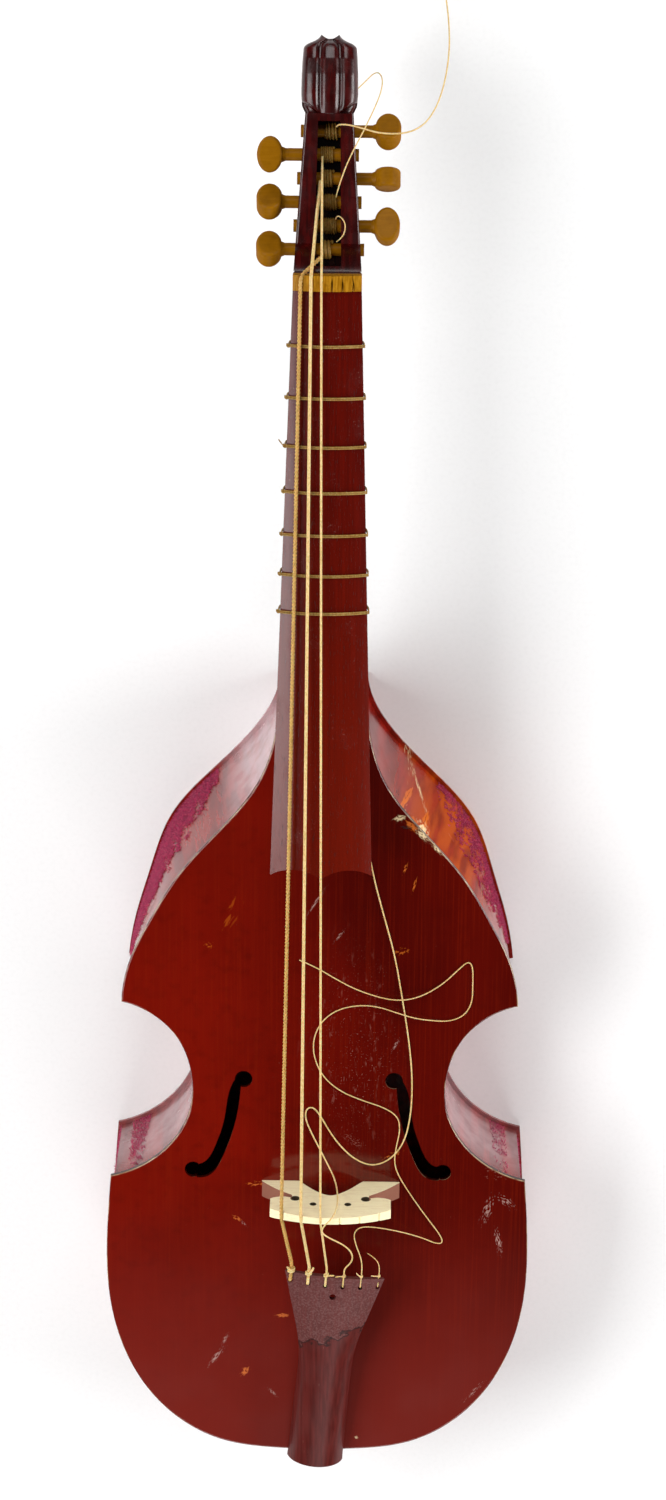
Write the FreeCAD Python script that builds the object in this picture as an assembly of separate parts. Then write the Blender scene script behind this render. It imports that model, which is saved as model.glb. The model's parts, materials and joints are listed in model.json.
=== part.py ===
"""Six-string bass viol lying on its back: hollow ribbed body, tied gut frets, six pegs, broken strings.

The model is built around the middle of the bridge: X runs to the treble side, Y along the strings
towards the head, Z out of the belly, and z = 0 is the belly's outer face. At the end everything is
moved so that the origin is under the middle of the whole instrument, on the surface it lies on.
All sizes are in millimetres.
"""

import FreeCAD, Part

import math
import os

V = FreeCAD.Vector

# ---- driving dimensions: body --------------------------------------------------------------------
STRING_LENGTH = 696.0
BODY_LENGTH = 600.0
BRIDGE_TO_NECK = 378.0
LOWER_BOUT_HALF = 160.0
LOWER_CORNER_HALF = 157.0
WAIST_HALF = 95.5
UPPER_CORNER_HALF = 148.0
NECK_ROOT_HALF = 33.0
UPPER_CORNER_Y = 150.0
LOWER_CORNER_Y = 8.0
RIB_HEIGHT = 97.0
RIB_THICKNESS = 2.0
PLATE_THICKNESS = 4.0
PLATE_OVERHANG = 3.0
EDGE_ROUNDING = 1.2
BLOCK_DEPTH = 22.0
BASS_BAR_LENGTH = 260.0
BASS_BAR_WIDTH = 6.0
BASS_BAR_DEPTH = 12.0
BASS_BAR_X = -30.0
SOUND_HOLE_UPPER_RADIUS = 6.6
SOUND_HOLE_LOWER_RADIUS = 6.3
SOUNDPOST_RADIUS = 5.5
SOUNDPOST_PLACE = (48.0, -12.0)

# ---- driving dimensions: neck, fingerboard and frets ----------------------------------------------
NUT_THICKNESS = 11.0
NUT_WIDTH = 48.0
BOARD_END_Y = 265.0
BOARD_END_WIDTH = 74.0
BOARD_CAMBER_RADIUS = 80.0
BOARD_EDGE = 4.5
BOARD_HEIGHT_NUT = 34.5
BOARD_HEIGHT_END = 41.7
BOARD_SCALLOP_RADIUS = 30.0
BOARD_SCALLOP_DEPTH = 6.0
STRING_OVER_NUT = 1.9
NECK_DEPTH_NUT = 24.0
NECK_DEPTH_ROOT = 31.0
HEEL_LENGTH = 62.0
FRET_COUNT = 7
FRET_WIDTH = 2.6
FRET_THICKNESS = 1.2
FRET_GAP = 0.4

# ---- driving dimensions: head and pegs ---------------------------------------------------------
PEGBOX_LENGTH = 107.0
PEGBOX_TILT = 12.0
PEGBOX_AXIS_HEIGHT = 14.0
PEGBOX_NUT_HALF = 24.0
PEGBOX_TOP_HALF = 16.8
CAVITY_NUT_HALF = 9.4
CAVITY_TOP_HALF = 7.8
CHEEK_ABOVE = 12.5
CHEEK_BELOW = 15.0
FLOOR_THICKNESS = 5.0
CHEEK_SCOOP_RADIUS = 16.0
FINIAL_LENGTH = 56.0
FINIAL_HALF = 20.2
FINIAL_DEPTH = 28.0
FINIAL_STEP = 5.0
FIRST_PEG = 14.0
PEG_PITCH = 16.3
PEG_RADIUS = 4.4
PEG_CLEARANCE = 0.05
PEG_STUB = 2.2
PEG_REACH = 32.0
PEG_HEAD_LENGTH = 18.0
PEG_HEAD_WIDTH = 25.0
PEG_HEAD_THICKNESS = 13.5
# each peg from the nut up: side of its head, turn of the head, thickness of the string wound on it
PEGS = [(-1, 45.0, 2.4), (1, 18.0, 0.8), (-1, 45.0, 0.9), (1, 100.0, 2.0), (-1, -5.0, 1.5), (1, 42.0, 1.1)]
WINDING_LENGTH = 10.5

# ---- driving dimensions: bridge, tailpiece and strings ---------------------------------------------
BRIDGE_X = 9.9
BRIDGE_HEIGHT = 58.0
BRIDGE_CROWN_RADIUS = 80.0
BRIDGE_CROWN_HALF = 45.2
BRIDGE_FOOT_HALF = 52.0
BRIDGE_FOOT_THICKNESS = 12.4
BRIDGE_CROWN_THICKNESS = 5.0
BRIDGE_SIDE_EYE = (26.5, 28.0, 3.4)
BRIDGE_SMALL_EYE = (13.0, 36.5, 2.4)
BRIDGE_LEG_HALF = 24.5
TAIL_OVERHANG = 5.0
TAIL_TOP_Y = -58.0
TAIL_TOP_OFFSET = 13.85
TAIL_THICKNESS = 5.0
TAIL_TOP_HEIGHT = 33.0
TAIL_END_HEIGHT = 18.5
TAIL_HOLE_INSET = 8.0
TAIL_HOLE_PITCH = 13.3
TAIL_HOLE_RADIUS = 1.7
HOOK_HOLE_RADIUS = 2.6
HOOK_HOLE_INSET = 17.0
HOOK_BAR_WIDTH = 16.0
HOOK_BAR_THICKNESS = 7.0
HOOK_BAR_HEADROOM = 2.0
NUT_SPACING = 7.3
BRIDGE_SPACING = 14.6
STRING_RADII = [1.55, 1.15, 0.8, 0.55, 0.42, 0.35]
# the three whole strings: number, peg counted from the nut, and where along the peg it is wound off
WHOLE_STRINGS = [(0, 0, -5.0), (1, 3, -5.8), (2, 4, -4.6)]
SLOT_CLEARANCE = 0.05
GAP = 0.3
KNOT_THICKNESS = 1.3
KNOT_OUT = 2.0
BREAK_OUT = 7.0

# ---- places that follow from them -------------------------------------------------------------------
BODY_TOP_Y = BRIDGE_TO_NECK
BODY_BOTTOM_Y = BRIDGE_TO_NECK - BODY_LENGTH
TAIL_END_Y = BODY_BOTTOM_Y - TAIL_OVERHANG
TAIL_LENGTH = TAIL_TOP_Y - TAIL_END_Y
TAIL_SKEW = math.degrees(math.asin(TAIL_TOP_OFFSET / TAIL_LENGTH))
BELLY_INSIDE = -PLATE_THICKNESS
BACK_INSIDE = BELLY_INSIDE - RIB_HEIGHT
BACK_OUTSIDE = BACK_INSIDE - PLATE_THICKNESS
NUT_BACK_Y = STRING_LENGTH + NUT_THICKNESS
BOARD_SLOPE = (BOARD_HEIGHT_END - BOARD_HEIGHT_NUT) / (STRING_LENGTH - BOARD_END_Y)

# Outline of one half, from the neck down. Upper and lower bouts: (share of the way out, share of the
# way up). The back is fuller at the shoulders than the belly, so that the upper ribs lean outwards.
UPPER_BELLY = [(0, 1), (0.022, 0.904), (0.13, 0.754), (0.357, 0.605), (0.643, 0.434), (0.804, 0.296),
               (0.943, 0.149), (1, 0)]
UPPER_BACK = [(0, 1), (0.026, 0.93), (0.148, 0.82), (0.409, 0.675), (0.726, 0.487), (0.857, 0.303),
              (0.952, 0.14), (1, 0)]
# Waist: (share of the way from the waist out to the corner, share of the way up)
WAIST_UPPER = [(1, 1), (0.562, 0.93), (0.229, 0.81), (0.019, 0.62)]
WAIST_LOWER = [(0.024, 0.387), (0.2195, 0.215), (0.528, 0.088), (1, 0)]
LOWER_BOUT = [(1.0, 0.804), (0.9875, 0.548), (0.872, 0.2915), (0.7125, 0.143), (0.4625, 0.035),
              (0.19, 0.004), (0, 0)]


def edge(points):
    """Return one smooth edge through plane or space points."""
    curve = Part.BSplineCurve()
    curve.interpolate([V(*point) for point in points])
    return curve.toShape()


def polygon_face(points):
    """Return the flat face inside a closed polygon."""
    vectors = [V(*point) for point in points]
    return Part.Face(Part.makePolygon(vectors + [vectors[0]]))


def mirrored(shape):
    """Return the shape reflected to the other side of the instrument."""
    return shape.mirror(V(0, 0, 0), V(1, 0, 0))


def box(x, y, z):
    """Return a block between (low, high) pairs on each axis."""
    return Part.makeBox(x[1] - x[0], y[1] - y[0], z[1] - z[0], V(x[0], y[0], z[0]))


def rod(radius, start, end):
    """Return a cylinder between two points."""
    axis = V(*end) - V(*start)
    return Part.makeCylinder(radius, axis.Length, V(*start), axis)


# ---- body outline --------------------------------------------------------------------------------
def half_outline(section, level):
    """Return the plan points of one outline section at a level from 0, the back, to 1, the belly."""
    if section == "upper":
        shares = [(a[0] + (b[0] - a[0]) * level, a[1] + (b[1] - a[1]) * level)
                  for a, b in zip(UPPER_BACK, UPPER_BELLY)]
        return [(NECK_ROOT_HALF + (UPPER_CORNER_HALF - NECK_ROOT_HALF) * out,
                 UPPER_CORNER_Y + (BODY_TOP_Y - UPPER_CORNER_Y) * up) for out, up in shares]
    if section == "waist":
        height = UPPER_CORNER_Y - LOWER_CORNER_Y
        upper = [(WAIST_HALF + (UPPER_CORNER_HALF - WAIST_HALF) * out, LOWER_CORNER_Y + height * up)
                 for out, up in WAIST_UPPER]
        lower = [(WAIST_HALF + (LOWER_CORNER_HALF - WAIST_HALF) * out, LOWER_CORNER_Y + height * up)
                 for out, up in WAIST_LOWER]
        return upper + lower
    corner = (LOWER_CORNER_HALF, LOWER_CORNER_Y)
    return [corner] + [(LOWER_BOUT_HALF * out, BODY_BOTTOM_Y + (LOWER_CORNER_Y - BODY_BOTTOM_Y) * up)
                       for out, up in LOWER_BOUT]


def inward_normals(points):
    """Return the unit normals to the body's inside at the points of a half-outline section."""
    curve = Part.BSplineCurve()
    curve.interpolate([V(x, y, 0) for x, y in points])
    normals = []
    for x, y in points:
        tangent = curve.tangent(curve.parameter(V(x, y, 0)))[0]
        normals.append((tangent.y, -tangent.x))
    return normals


def corner_shift(first, second, distance):
    """Return how far a corner moves when both of its sides move in by a distance."""
    scale = distance / (1 + first[0] * second[0] + first[1] * second[1])
    return ((first[0] + second[0]) * scale, (first[1] + second[1]) * scale)


def inset_section(section, level, distance):
    """Return a section's points moved into the body, mitred at the corners, negative for outwards."""
    points = half_outline(section, level)
    normals = inward_normals(points)
    shifts = [(n[0] * distance, n[1] * distance) for n in normals]
    if section == "upper":
        shifts[0] = (distance / normals[0][0], 0)
        shifts[-1] = corner_shift(normals[-1], inward_normals(half_outline("waist", level))[0], distance)
    elif section == "waist":
        shifts[0] = corner_shift(inward_normals(half_outline("upper", level))[-1], normals[0], distance)
        shifts[-1] = corner_shift(normals[-1], inward_normals(half_outline("lower", level))[0], distance)
    else:
        shifts[0] = corner_shift(inward_normals(half_outline("waist", level))[-1], normals[0], distance)
        shifts[-1] = (0, distance)
    return [(p[0] + s[0], p[1] + s[1]) for p, s in zip(points, shifts)]


def outline_wire(level, distance, z):
    """Return the whole body outline at a level, moved in by a distance, as a closed wire at a height."""
    upper = inset_section("upper", level, distance)
    waist = inset_section("waist", level, distance)
    lower = inset_section("lower", level, distance)
    lower_whole = lower + [(-x, y) for x, y in reversed(lower[:-1])]
    left = [[(-x, y) for x, y in reversed(part)] for part in (waist, upper)]
    runs = [upper, waist, lower_whole, left[0], left[1]]
    edges = [edge([(x, y, z) for x, y in run]) for run in runs]
    start, end = upper[0], left[1][-1]
    edges.append(Part.LineSegment(V(end[0], end[1], z), V(start[0], start[1], z)).toShape())
    return Part.Wire(edges)


def rib_run(section, level, distance, z):
    """Return the space points of one rib face; the lower rib runs round both sides in one piece."""
    run = [(x, y, z) for x, y in inset_section(section, level, distance)]
    if section == "lower":
        run += [(-x, y, z) for x, y, z in reversed(run[:-1])]
    return run


def rib(section):
    """Return the treble-side rib of one section, bent from the back's outline to the belly's."""
    wires = []
    for level, z in ((0, BACK_INSIDE), (1, BELLY_INSIDE)):
        outer = rib_run(section, level, PLATE_OVERHANG, z)
        inner = rib_run(section, level, PLATE_OVERHANG + RIB_THICKNESS, z)
        sides = [edge(outer), Part.LineSegment(V(*outer[-1]), V(*inner[-1])).toShape(),
                 edge(inner[::-1]), Part.LineSegment(V(*inner[0]), V(*outer[0])).toShape()]
        wires.append(Part.Wire(sides))
    return Part.makeLoft(wires, True, True)


def body_cavity():
    """Return the air inside the ribs, which shapes every block glued into it."""
    inset = PLATE_OVERHANG + RIB_THICKNESS
    wires = [outline_wire(0, inset, BACK_INSIDE), outline_wire(1, inset, BELLY_INSIDE)]
    return Part.makeLoft(wires, True, True)


def sound_hole():
    """Return the cutter of the treble-side sound hole: two round ends joined by a curved stem."""
    upper_end = (56.5, UPPER_CORNER_Y - 61.0)
    lower_end = (94.5, LOWER_CORNER_Y + 6.5)
    outer = [(59.5, 93.5), (67.5, 78.0), (70.6, 58.0), (76.8, 36.5), (88.5, 19.5), (96.0, 19.8)]
    inner = [(91.5, 7.8), (82.0, 9.8), (72.0, 25.0), (64.3, 47.0), (60.6, 64.0), (58.5, 84.0)]
    low = -PLATE_THICKNESS - 1
    stem = [edge([(x, y, low) for x, y in outer]), edge([(x, y, low) for x, y in inner]),
            Part.LineSegment(V(*outer[-1], low), V(*inner[0], low)).toShape(),
            Part.LineSegment(V(*inner[-1], low), V(*outer[0], low)).toShape()]
    height = PLATE_THICKNESS + 2
    cutter = Part.Face(Part.Wire(Part.__sortEdges__(stem))).extrude(V(0, 0, height))
    cutter = cutter.fuse(Part.makeCylinder(SOUND_HOLE_UPPER_RADIUS, height, V(*upper_end, low)))
    return cutter.fuse(Part.makeCylinder(SOUND_HOLE_LOWER_RADIUS, height, V(*lower_end, low)))


def plate(level, low):
    """Return a belly or back plate with softened edges."""
    solid = Part.Face(outline_wire(level, 0, low)).extrude(V(0, 0, PLATE_THICKNESS))
    face_height = low + PLATE_THICKNESS if level else low
    rim = [e for e in solid.Edges if max(abs(v.Z - face_height) for v in e.Vertexes) < 0.01]
    return solid.makeFillet(EDGE_ROUNDING, rim)


def hook_bar():
    """Return the bar that stands on the tail block and holds the tailpiece's end."""
    rib_face = BODY_BOTTOM_Y + PLATE_OVERHANG
    half = HOOK_BAR_WIDTH / 2
    top = TAIL_END_HEIGHT - TAIL_THICKNESS - HOOK_BAR_HEADROOM
    bar = box((-half, half), (rib_face - HOOK_BAR_THICKNESS, rib_face), (BACK_INSIDE + 6, top))
    along = [e for e in bar.Edges if e.BoundBox.ZLength > 20 and e.BoundBox.YMax < rib_face - 1]
    return bar.makeFillet(2.0, along)


def hook_bar_notch():
    """Return the room that the hook bar needs in the plates' overhanging edges."""
    rib_face = BODY_BOTTOM_Y + PLATE_OVERHANG
    half = HOOK_BAR_WIDTH / 2 + SLOT_CLEARANCE
    return box((-half, half), (rib_face - HOOK_BAR_THICKNESS - 1, rib_face), (BACK_INSIDE + 5, 2))


def make_body():
    """Return the body's plates, ribs, blocks, bar and post by name."""
    holes = sound_hole()
    parts = {"belly": plate(1, BELLY_INSIDE).cut(holes.fuse(mirrored(holes))).cut(hook_bar_notch())}
    parts["back"] = plate(0, BACK_OUTSIDE)
    for section in ("upper", "waist"):
        treble = rib(section)
        parts[section + "_rib_treble"] = treble
        parts[section + "_rib_bass"] = mirrored(treble)
    parts["lower_rib"] = rib("lower")
    cavity = body_cavity()
    depth = (BACK_INSIDE - 1, BELLY_INSIDE + 1)
    corners = {"upper": (UPPER_CORNER_HALF, UPPER_CORNER_Y), "lower": (LOWER_CORNER_HALF, LOWER_CORNER_Y)}
    for name, (x, y) in corners.items():
        block = cavity.common(box((x - 2 * BLOCK_DEPTH, x + 10), (y - BLOCK_DEPTH, y + BLOCK_DEPTH), depth))
        parts[name + "_block_treble"] = block
        parts[name + "_block_bass"] = mirrored(block)
    room = NECK_ROOT_HALF + 20
    parts["neck_block"] = cavity.common(box((-room, room), (BODY_TOP_Y - 30, BODY_TOP_Y + 1), depth))
    bottom = BODY_BOTTOM_Y + PLATE_OVERHANG + RIB_THICKNESS
    parts["tail_block"] = cavity.common(box((-30, 30), (bottom - 1, bottom + BLOCK_DEPTH), depth))
    half = BASS_BAR_LENGTH / 2
    middle = -BODY_BOTTOM_Y / 6
    top = BELLY_INSIDE
    profile = [(middle - half, top), (middle + half, top), (middle + half, top - 2),
               (middle + half / 3, top - BASS_BAR_DEPTH), (middle - half / 3, top - BASS_BAR_DEPTH),
               (middle - half, top - 2)]
    side = BASS_BAR_X - BASS_BAR_WIDTH / 2
    parts["bass_bar"] = polygon_face([(side, y, z) for y, z in profile]).extrude(V(BASS_BAR_WIDTH, 0, 0))
    parts["soundpost"] = rod(SOUNDPOST_RADIUS, (*SOUNDPOST_PLACE, BACK_INSIDE),
                             (*SOUNDPOST_PLACE, BELLY_INSIDE))
    parts["hook_bar"] = hook_bar()
    return parts


# ---- neck, fingerboard, nut and frets ---------------------------------------------------------------
def board_height(y):
    """Return the height of the fingerboard's ridge at a place along it."""
    return BOARD_HEIGHT_NUT + (STRING_LENGTH - y) * BOARD_SLOPE


def board_half(y):
    """Return half of the fingerboard's width."""
    share = (STRING_LENGTH - y) / (STRING_LENGTH - BOARD_END_Y)
    return (NUT_WIDTH + (BOARD_END_WIDTH - NUT_WIDTH) * share) / 2


def camber(half):
    """Return how far the cambered surface has dropped at a distance from its ridge."""
    return BOARD_CAMBER_RADIUS - math.sqrt(BOARD_CAMBER_RADIUS ** 2 - half ** 2)


def glue_height(y):
    """Return the height of the joint between neck and fingerboard."""
    end = board_height(BOARD_END_Y) - camber(board_half(BOARD_END_Y)) - BOARD_EDGE
    nut = board_height(STRING_LENGTH) - camber(board_half(STRING_LENGTH)) - BOARD_EDGE
    return nut + (end - nut) * (STRING_LENGTH - y) / (STRING_LENGTH - BOARD_END_Y)


def neck_depth(y):
    """Return how deep the neck is below the fingerboard, growing into the heel at the body."""
    share = (STRING_LENGTH - y) / (STRING_LENGTH - BODY_TOP_Y)
    shaft = NECK_DEPTH_NUT + (NECK_DEPTH_ROOT - NECK_DEPTH_NUT) * share
    heel = max(0.0, 1 - (y - BODY_TOP_Y) / HEEL_LENGTH)
    full = glue_height(BODY_TOP_Y) - BACK_INSIDE - NECK_DEPTH_ROOT
    return shaft + full * heel ** 2.4


def neck_bottom(y, grow):
    """Return the edge of the neck's rounded underside, grown outwards, from bass to treble."""
    half = min(board_half(y), NECK_ROOT_HALF) + grow
    depth = neck_depth(y) + grow
    top = glue_height(y)
    shape = [(-1, 0), (-0.93, 0.38), (-0.62, 0.82), (0, 1), (0.62, 0.82), (0.93, 0.38), (1, 0)]
    return edge([(half * out, y, top - depth * down) for out, down in shape])


def neck_section(y):
    """Return the neck's closed section at a place along it."""
    half = min(board_half(y), NECK_ROOT_HALF)
    top = glue_height(y)
    flat = Part.LineSegment(V(half, y, top), V(-half, y, top)).toShape()
    return Part.Wire([neck_bottom(y, 0), flat])


def make_neck():
    """Return the neck: a straight shaft, and the heel that sweeps down to the back."""
    heel_end = BODY_TOP_Y + HEEL_LENGTH
    heel = [BODY_TOP_Y + HEEL_LENGTH * share for share in (0, 0.15, 0.32, 0.5, 0.72, 0.88, 1.0)]
    shaft = Part.makeLoft([neck_section(heel_end), neck_section(NUT_BACK_Y)], True, True)
    return shaft.fuse(Part.makeLoft([neck_section(y) for y in heel], True, False))


def board_profile(y, half):
    """Return the fingerboard's section: flat glue face, low edges and a cambered top."""
    low = glue_height(y)
    high = board_height(y) - camber(half)
    top = Part.Arc(V(half, y, high), V(0, y, board_height(y)), V(-half, y, high)).toShape()
    sides = [Part.LineSegment(V(-half, y, low), V(half, y, low)).toShape(),
             Part.LineSegment(V(half, y, low), V(half, y, high)).toShape(), top,
             Part.LineSegment(V(-half, y, high), V(-half, y, low)).toShape()]
    return Part.Wire(sides)


def make_fingerboard():
    """Return the fingerboard with the two scallops in its free end."""
    ends = [board_profile(BOARD_END_Y, BOARD_END_WIDTH / 2), board_profile(STRING_LENGTH, NUT_WIDTH / 2)]
    board = Part.makeLoft(ends, True, True)
    centre_y = BOARD_END_Y + BOARD_SCALLOP_DEPTH - BOARD_SCALLOP_RADIUS
    for side in (-1, 1):
        place = V(side * BOARD_END_WIDTH / 4, centre_y, 0)
        board = board.cut(Part.makeCylinder(BOARD_SCALLOP_RADIUS, 2 * BOARD_HEIGHT_END, place))
    return board


def make_nut():
    """Return the nut block without its string slots."""
    half = NUT_WIDTH / 2
    rise = STRING_OVER_NUT + 0.6
    profiles = []
    for y in (STRING_LENGTH, NUT_BACK_Y):
        low = glue_height(y)
        high = board_height(STRING_LENGTH) + rise - camber(half)
        top = Part.Arc(V(half, y, high), V(0, y, high + camber(half)), V(-half, y, high)).toShape()
        profiles.append(Part.Wire([Part.LineSegment(V(-half, y, low), V(half, y, low)).toShape(),
                                   Part.LineSegment(V(half, y, low), V(half, y, high)).toShape(), top,
                                   Part.LineSegment(V(-half, y, high), V(-half, y, low)).toShape()]))
    return Part.makeLoft(profiles, True, True)


def fret_place(number):
    """Return where a fret is tied, by equal temperament from the nut."""
    return STRING_LENGTH * 2 ** (-number / 12)


def fret_loop(y, grow):
    """Return a closed loop round neck and fingerboard, a little outside them."""
    half = board_half(y) + grow
    high = board_height(y) - camber(board_half(y)) + grow
    top = Part.Arc(V(half, y, high), V(0, y, board_height(y) + grow), V(-half, y, high)).toShape()
    low = glue_height(y)
    bottom = neck_bottom(y, grow)
    return Part.Wire([bottom, Part.LineSegment(V(half, y, low), V(half, y, high)).toShape(), top,
                      Part.LineSegment(V(-half, y, high), V(-half, y, low)).toShape()])


def make_fret(number):
    """Return one tied fret as a flat ring of doubled gut."""
    y = fret_place(number) - FRET_WIDTH / 2
    along = V(0, FRET_WIDTH, -FRET_WIDTH * BOARD_SLOPE)
    outer = Part.Face(fret_loop(y, FRET_GAP + FRET_THICKNESS)).extrude(along)
    return outer.cut(Part.Face(fret_loop(y, FRET_GAP)).extrude(along))


# ---- head: built straight along Y from the nut's back, then tilted back ----------------------------------
def tilt_head(shape):
    """Return a head piece turned from its straight layout to its place behind the nut."""
    turned = shape.copy()
    turned.rotate(V(0, 0, 0), V(1, 0, 0), -PEGBOX_TILT)
    turned.translate(V(0, NUT_BACK_Y, PEGBOX_AXIS_HEIGHT))
    return turned


def head_point(x, along, up):
    """Return where a point of the straight head layout ends up."""
    angle = math.radians(PEGBOX_TILT)
    return (x, NUT_BACK_Y + along * math.cos(angle) + up * math.sin(angle),
            PEGBOX_AXIS_HEIGHT - along * math.sin(angle) + up * math.cos(angle))


def tapered_block(near_half, far_half, near_y, far_y, low, high):
    """Return a block whose width changes evenly along it."""
    corners = [(-near_half, near_y, low), (near_half, near_y, low), (far_half, far_y, low),
               (-far_half, far_y, low)]
    return polygon_face(corners).extrude(V(0, 0, high - low))


def peg_place(index):
    """Return how far a peg is from the nut's back along the head."""
    return FIRST_PEG + index * PEG_PITCH


def cheek_half(along):
    """Return half of the pegbox's outer width at a place along it."""
    return PEGBOX_NUT_HALF + (PEGBOX_TOP_HALF - PEGBOX_NUT_HALF) * along / PEGBOX_LENGTH


def make_pegbox():
    """Return the open pegbox with its peg holes and its cheeks scooped behind the nut."""
    overlap = 6.0
    outer = tapered_block(PEGBOX_NUT_HALF, PEGBOX_TOP_HALF, -overlap, PEGBOX_LENGTH, -CHEEK_BELOW,
                          CHEEK_ABOVE)
    long_edges = [e for e in outer.Edges if e.BoundBox.YLength > PEGBOX_LENGTH / 2 and e.BoundBox.ZMax < 0]
    outer = outer.makeFillet(6.0, long_edges)
    top_edges = [e for e in outer.Edges if e.BoundBox.YLength > PEGBOX_LENGTH / 2
                 and e.BoundBox.ZMin > CHEEK_ABOVE - 0.1]
    outer = outer.makeFillet(2.0, top_edges)
    cavity = tapered_block(CAVITY_NUT_HALF, CAVITY_TOP_HALF, 2.5, PEGBOX_LENGTH - 5,
                           FLOOR_THICKNESS - CHEEK_BELOW, CHEEK_ABOVE + 1)
    reach = PEGBOX_NUT_HALF + 5
    scoop = rod(CHEEK_SCOOP_RADIUS, (-reach, 4.0, CHEEK_ABOVE + CHEEK_SCOOP_RADIUS - 8.0),
                (reach, 4.0, CHEEK_ABOVE + CHEEK_SCOOP_RADIUS - 8.0))
    box_shape = outer.cut(cavity).cut(scoop)
    for index in range(len(PEGS)):
        place = peg_place(index)
        box_shape = box_shape.cut(rod(PEG_RADIUS + PEG_CLEARANCE, (-reach, place, 0), (reach, place, 0)))
    box_shape = tilt_head(box_shape)
    behind_nut = box((-reach, reach), (NUT_BACK_Y, NUT_BACK_Y + 2 * PEGBOX_LENGTH), (-200, 200))
    return box_shape.common(behind_nut)


def make_finial():
    """Return the carved head: an urn outline over three soft lobes, with a scalloped lower edge."""
    half = FINIAL_HALF
    length = FINIAL_LENGTH
    side = [(0.83, 0.0), (0.97, 0.1), (1.0, 0.24), (0.99, 0.5), (0.93, 0.82)]
    crest = [(0.93, 0.82), (0.8, 0.862), (0.58, 0.892), (0.4, 0.93), (0.32, 0.975)]
    scoop = [(0.32, 0.975), (0.0, 0.925), (-0.32, 0.975)]

    def place(points):
        return [(half * out, PEGBOX_LENGTH + length * up, 0) for out, up in points]

    def flip(points):
        return [(-out, up) for out, up in reversed(points)]

    runs = [side, crest, scoop, flip(crest), flip(side)]
    edges = [edge(place(run)) for run in runs]
    start, end = place(side)[0], place(flip(side))[-1]
    edges.append(Part.LineSegment(V(*end), V(*start)).toShape())
    outline = Part.Face(Part.Wire(edges))
    outline.translate(V(0, 0, -FINIAL_DEPTH))
    urn = outline.extrude(V(0, 0, 2 * FINIAL_DEPTH))
    front = FINIAL_DEPTH / 2
    near = PEGBOX_LENGTH - 1
    # across the head: share of the half-width, drop from the front
    lobes = [(1.06, 17.0), (0.98, 10.0), (0.87, 4.6), (0.68, 1.3), (0.5, 1.6), (0.34, 3.4), (0.19, 1.0)]
    wave = lobes + [(0.0, 0.0)] + flip(lobes)
    across = [(half * out, near, front - drop) for out, drop in wave]
    right, left = across[0], across[-1]
    low = 4 - front
    back = Part.Arc(V(left[0], near, low), V(0, near, -front), V(right[0], near, low)).toShape()
    section = Part.Wire([edge(across), Part.LineSegment(V(*left), V(left[0], near, low)).toShape(), back,
                         Part.LineSegment(V(right[0], near, low), V(*right)).toShape()])
    shape = urn.common(Part.Face(section).extrude(V(0, length + 2, 0)))
    # along the head the front falls away to the crest
    fall = [(-0.03, 1.2), (0.12, 0.2), (0.3, 0.0), (0.55, 0.6), (0.78, 3.2), (0.93, 7.5), (1.02, 11.0)]
    along = [(-half - 1, PEGBOX_LENGTH + length * up, front + 0.2 - drop) for up, drop in fall]
    first, last = along[0], along[-1]
    below = [V(end[0], end[1], -FINIAL_DEPTH) for end in (last, first)]
    profile = Part.Wire([edge(along), Part.LineSegment(V(*last), below[0]).toShape(),
                         Part.LineSegment(*below).toShape(), Part.LineSegment(below[1], V(*first)).toShape()])
    shape = shape.common(Part.Face(profile).extrude(V(2 * half + 2, 0, 0)))
    # the lobes end in a curved step above the cheeks
    step = [(1.1, 0.15), (0.8, 0.12), (0.55, 0.05), (0.4, -0.04)]
    for turn in (1, -1):
        rim = [(turn * half * out, PEGBOX_LENGTH + length * up, front - FINIAL_STEP) for out, up in step]
        corner = (rim[0][0], rim[-1][1], rim[0][2])
        ends = [Part.LineSegment(V(*rim[-1]), V(*corner)).toShape(),
                Part.LineSegment(V(*corner), V(*rim[0])).toShape()]
        shape = shape.cut(Part.Face(Part.Wire([edge(rim), *ends])).extrude(V(0, 0, 2 * FINIAL_STEP)))
    return tilt_head(shape)


def make_peg(index):
    """Return one turning peg: shaft through both cheeks, collar and flattened round head."""
    side, turn, _ = PEGS[index]
    place = peg_place(index)
    far = cheek_half(place) + PEG_STUB
    shaft = rod(PEG_RADIUS, (-side * far, place, 0), (side * (PEG_REACH + 2), place, 0))
    collar = Part.makeCone(PEG_RADIUS, PEG_RADIUS + 1.6, 4.0, V(side * (PEG_REACH - 2), place, 0),
                           V(side, 0, 0))
    centre = side * (PEG_REACH + PEG_HEAD_LENGTH / 2)
    oval = Part.Ellipse(V(0, 0, 0), PEG_HEAD_WIDTH / 2, PEG_HEAD_LENGTH / 2)
    disc = Part.Face(Part.Wire(oval.toShape())).extrude(V(0, 0, PEG_HEAD_THICKNESS))
    disc.translate(V(0, 0, -PEG_HEAD_THICKNESS / 2))
    disc = disc.makeFillet(2.4, [e for e in disc.Edges if e.BoundBox.ZLength < 0.01])
    disc.rotate(V(0, 0, 0), V(0, 0, 1), 90)
    disc.rotate(V(0, 0, 0), V(1, 0, 0), -turn)
    disc.translate(V(centre, place, 0))
    return tilt_head(shaft.fuse([collar, disc]).removeSplitter())


def winding_centre(index):
    """Return where along its peg a string is wound, on the side that it leaves from."""
    return -1.2 if index in (0, 3, 4) else 1.2


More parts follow.
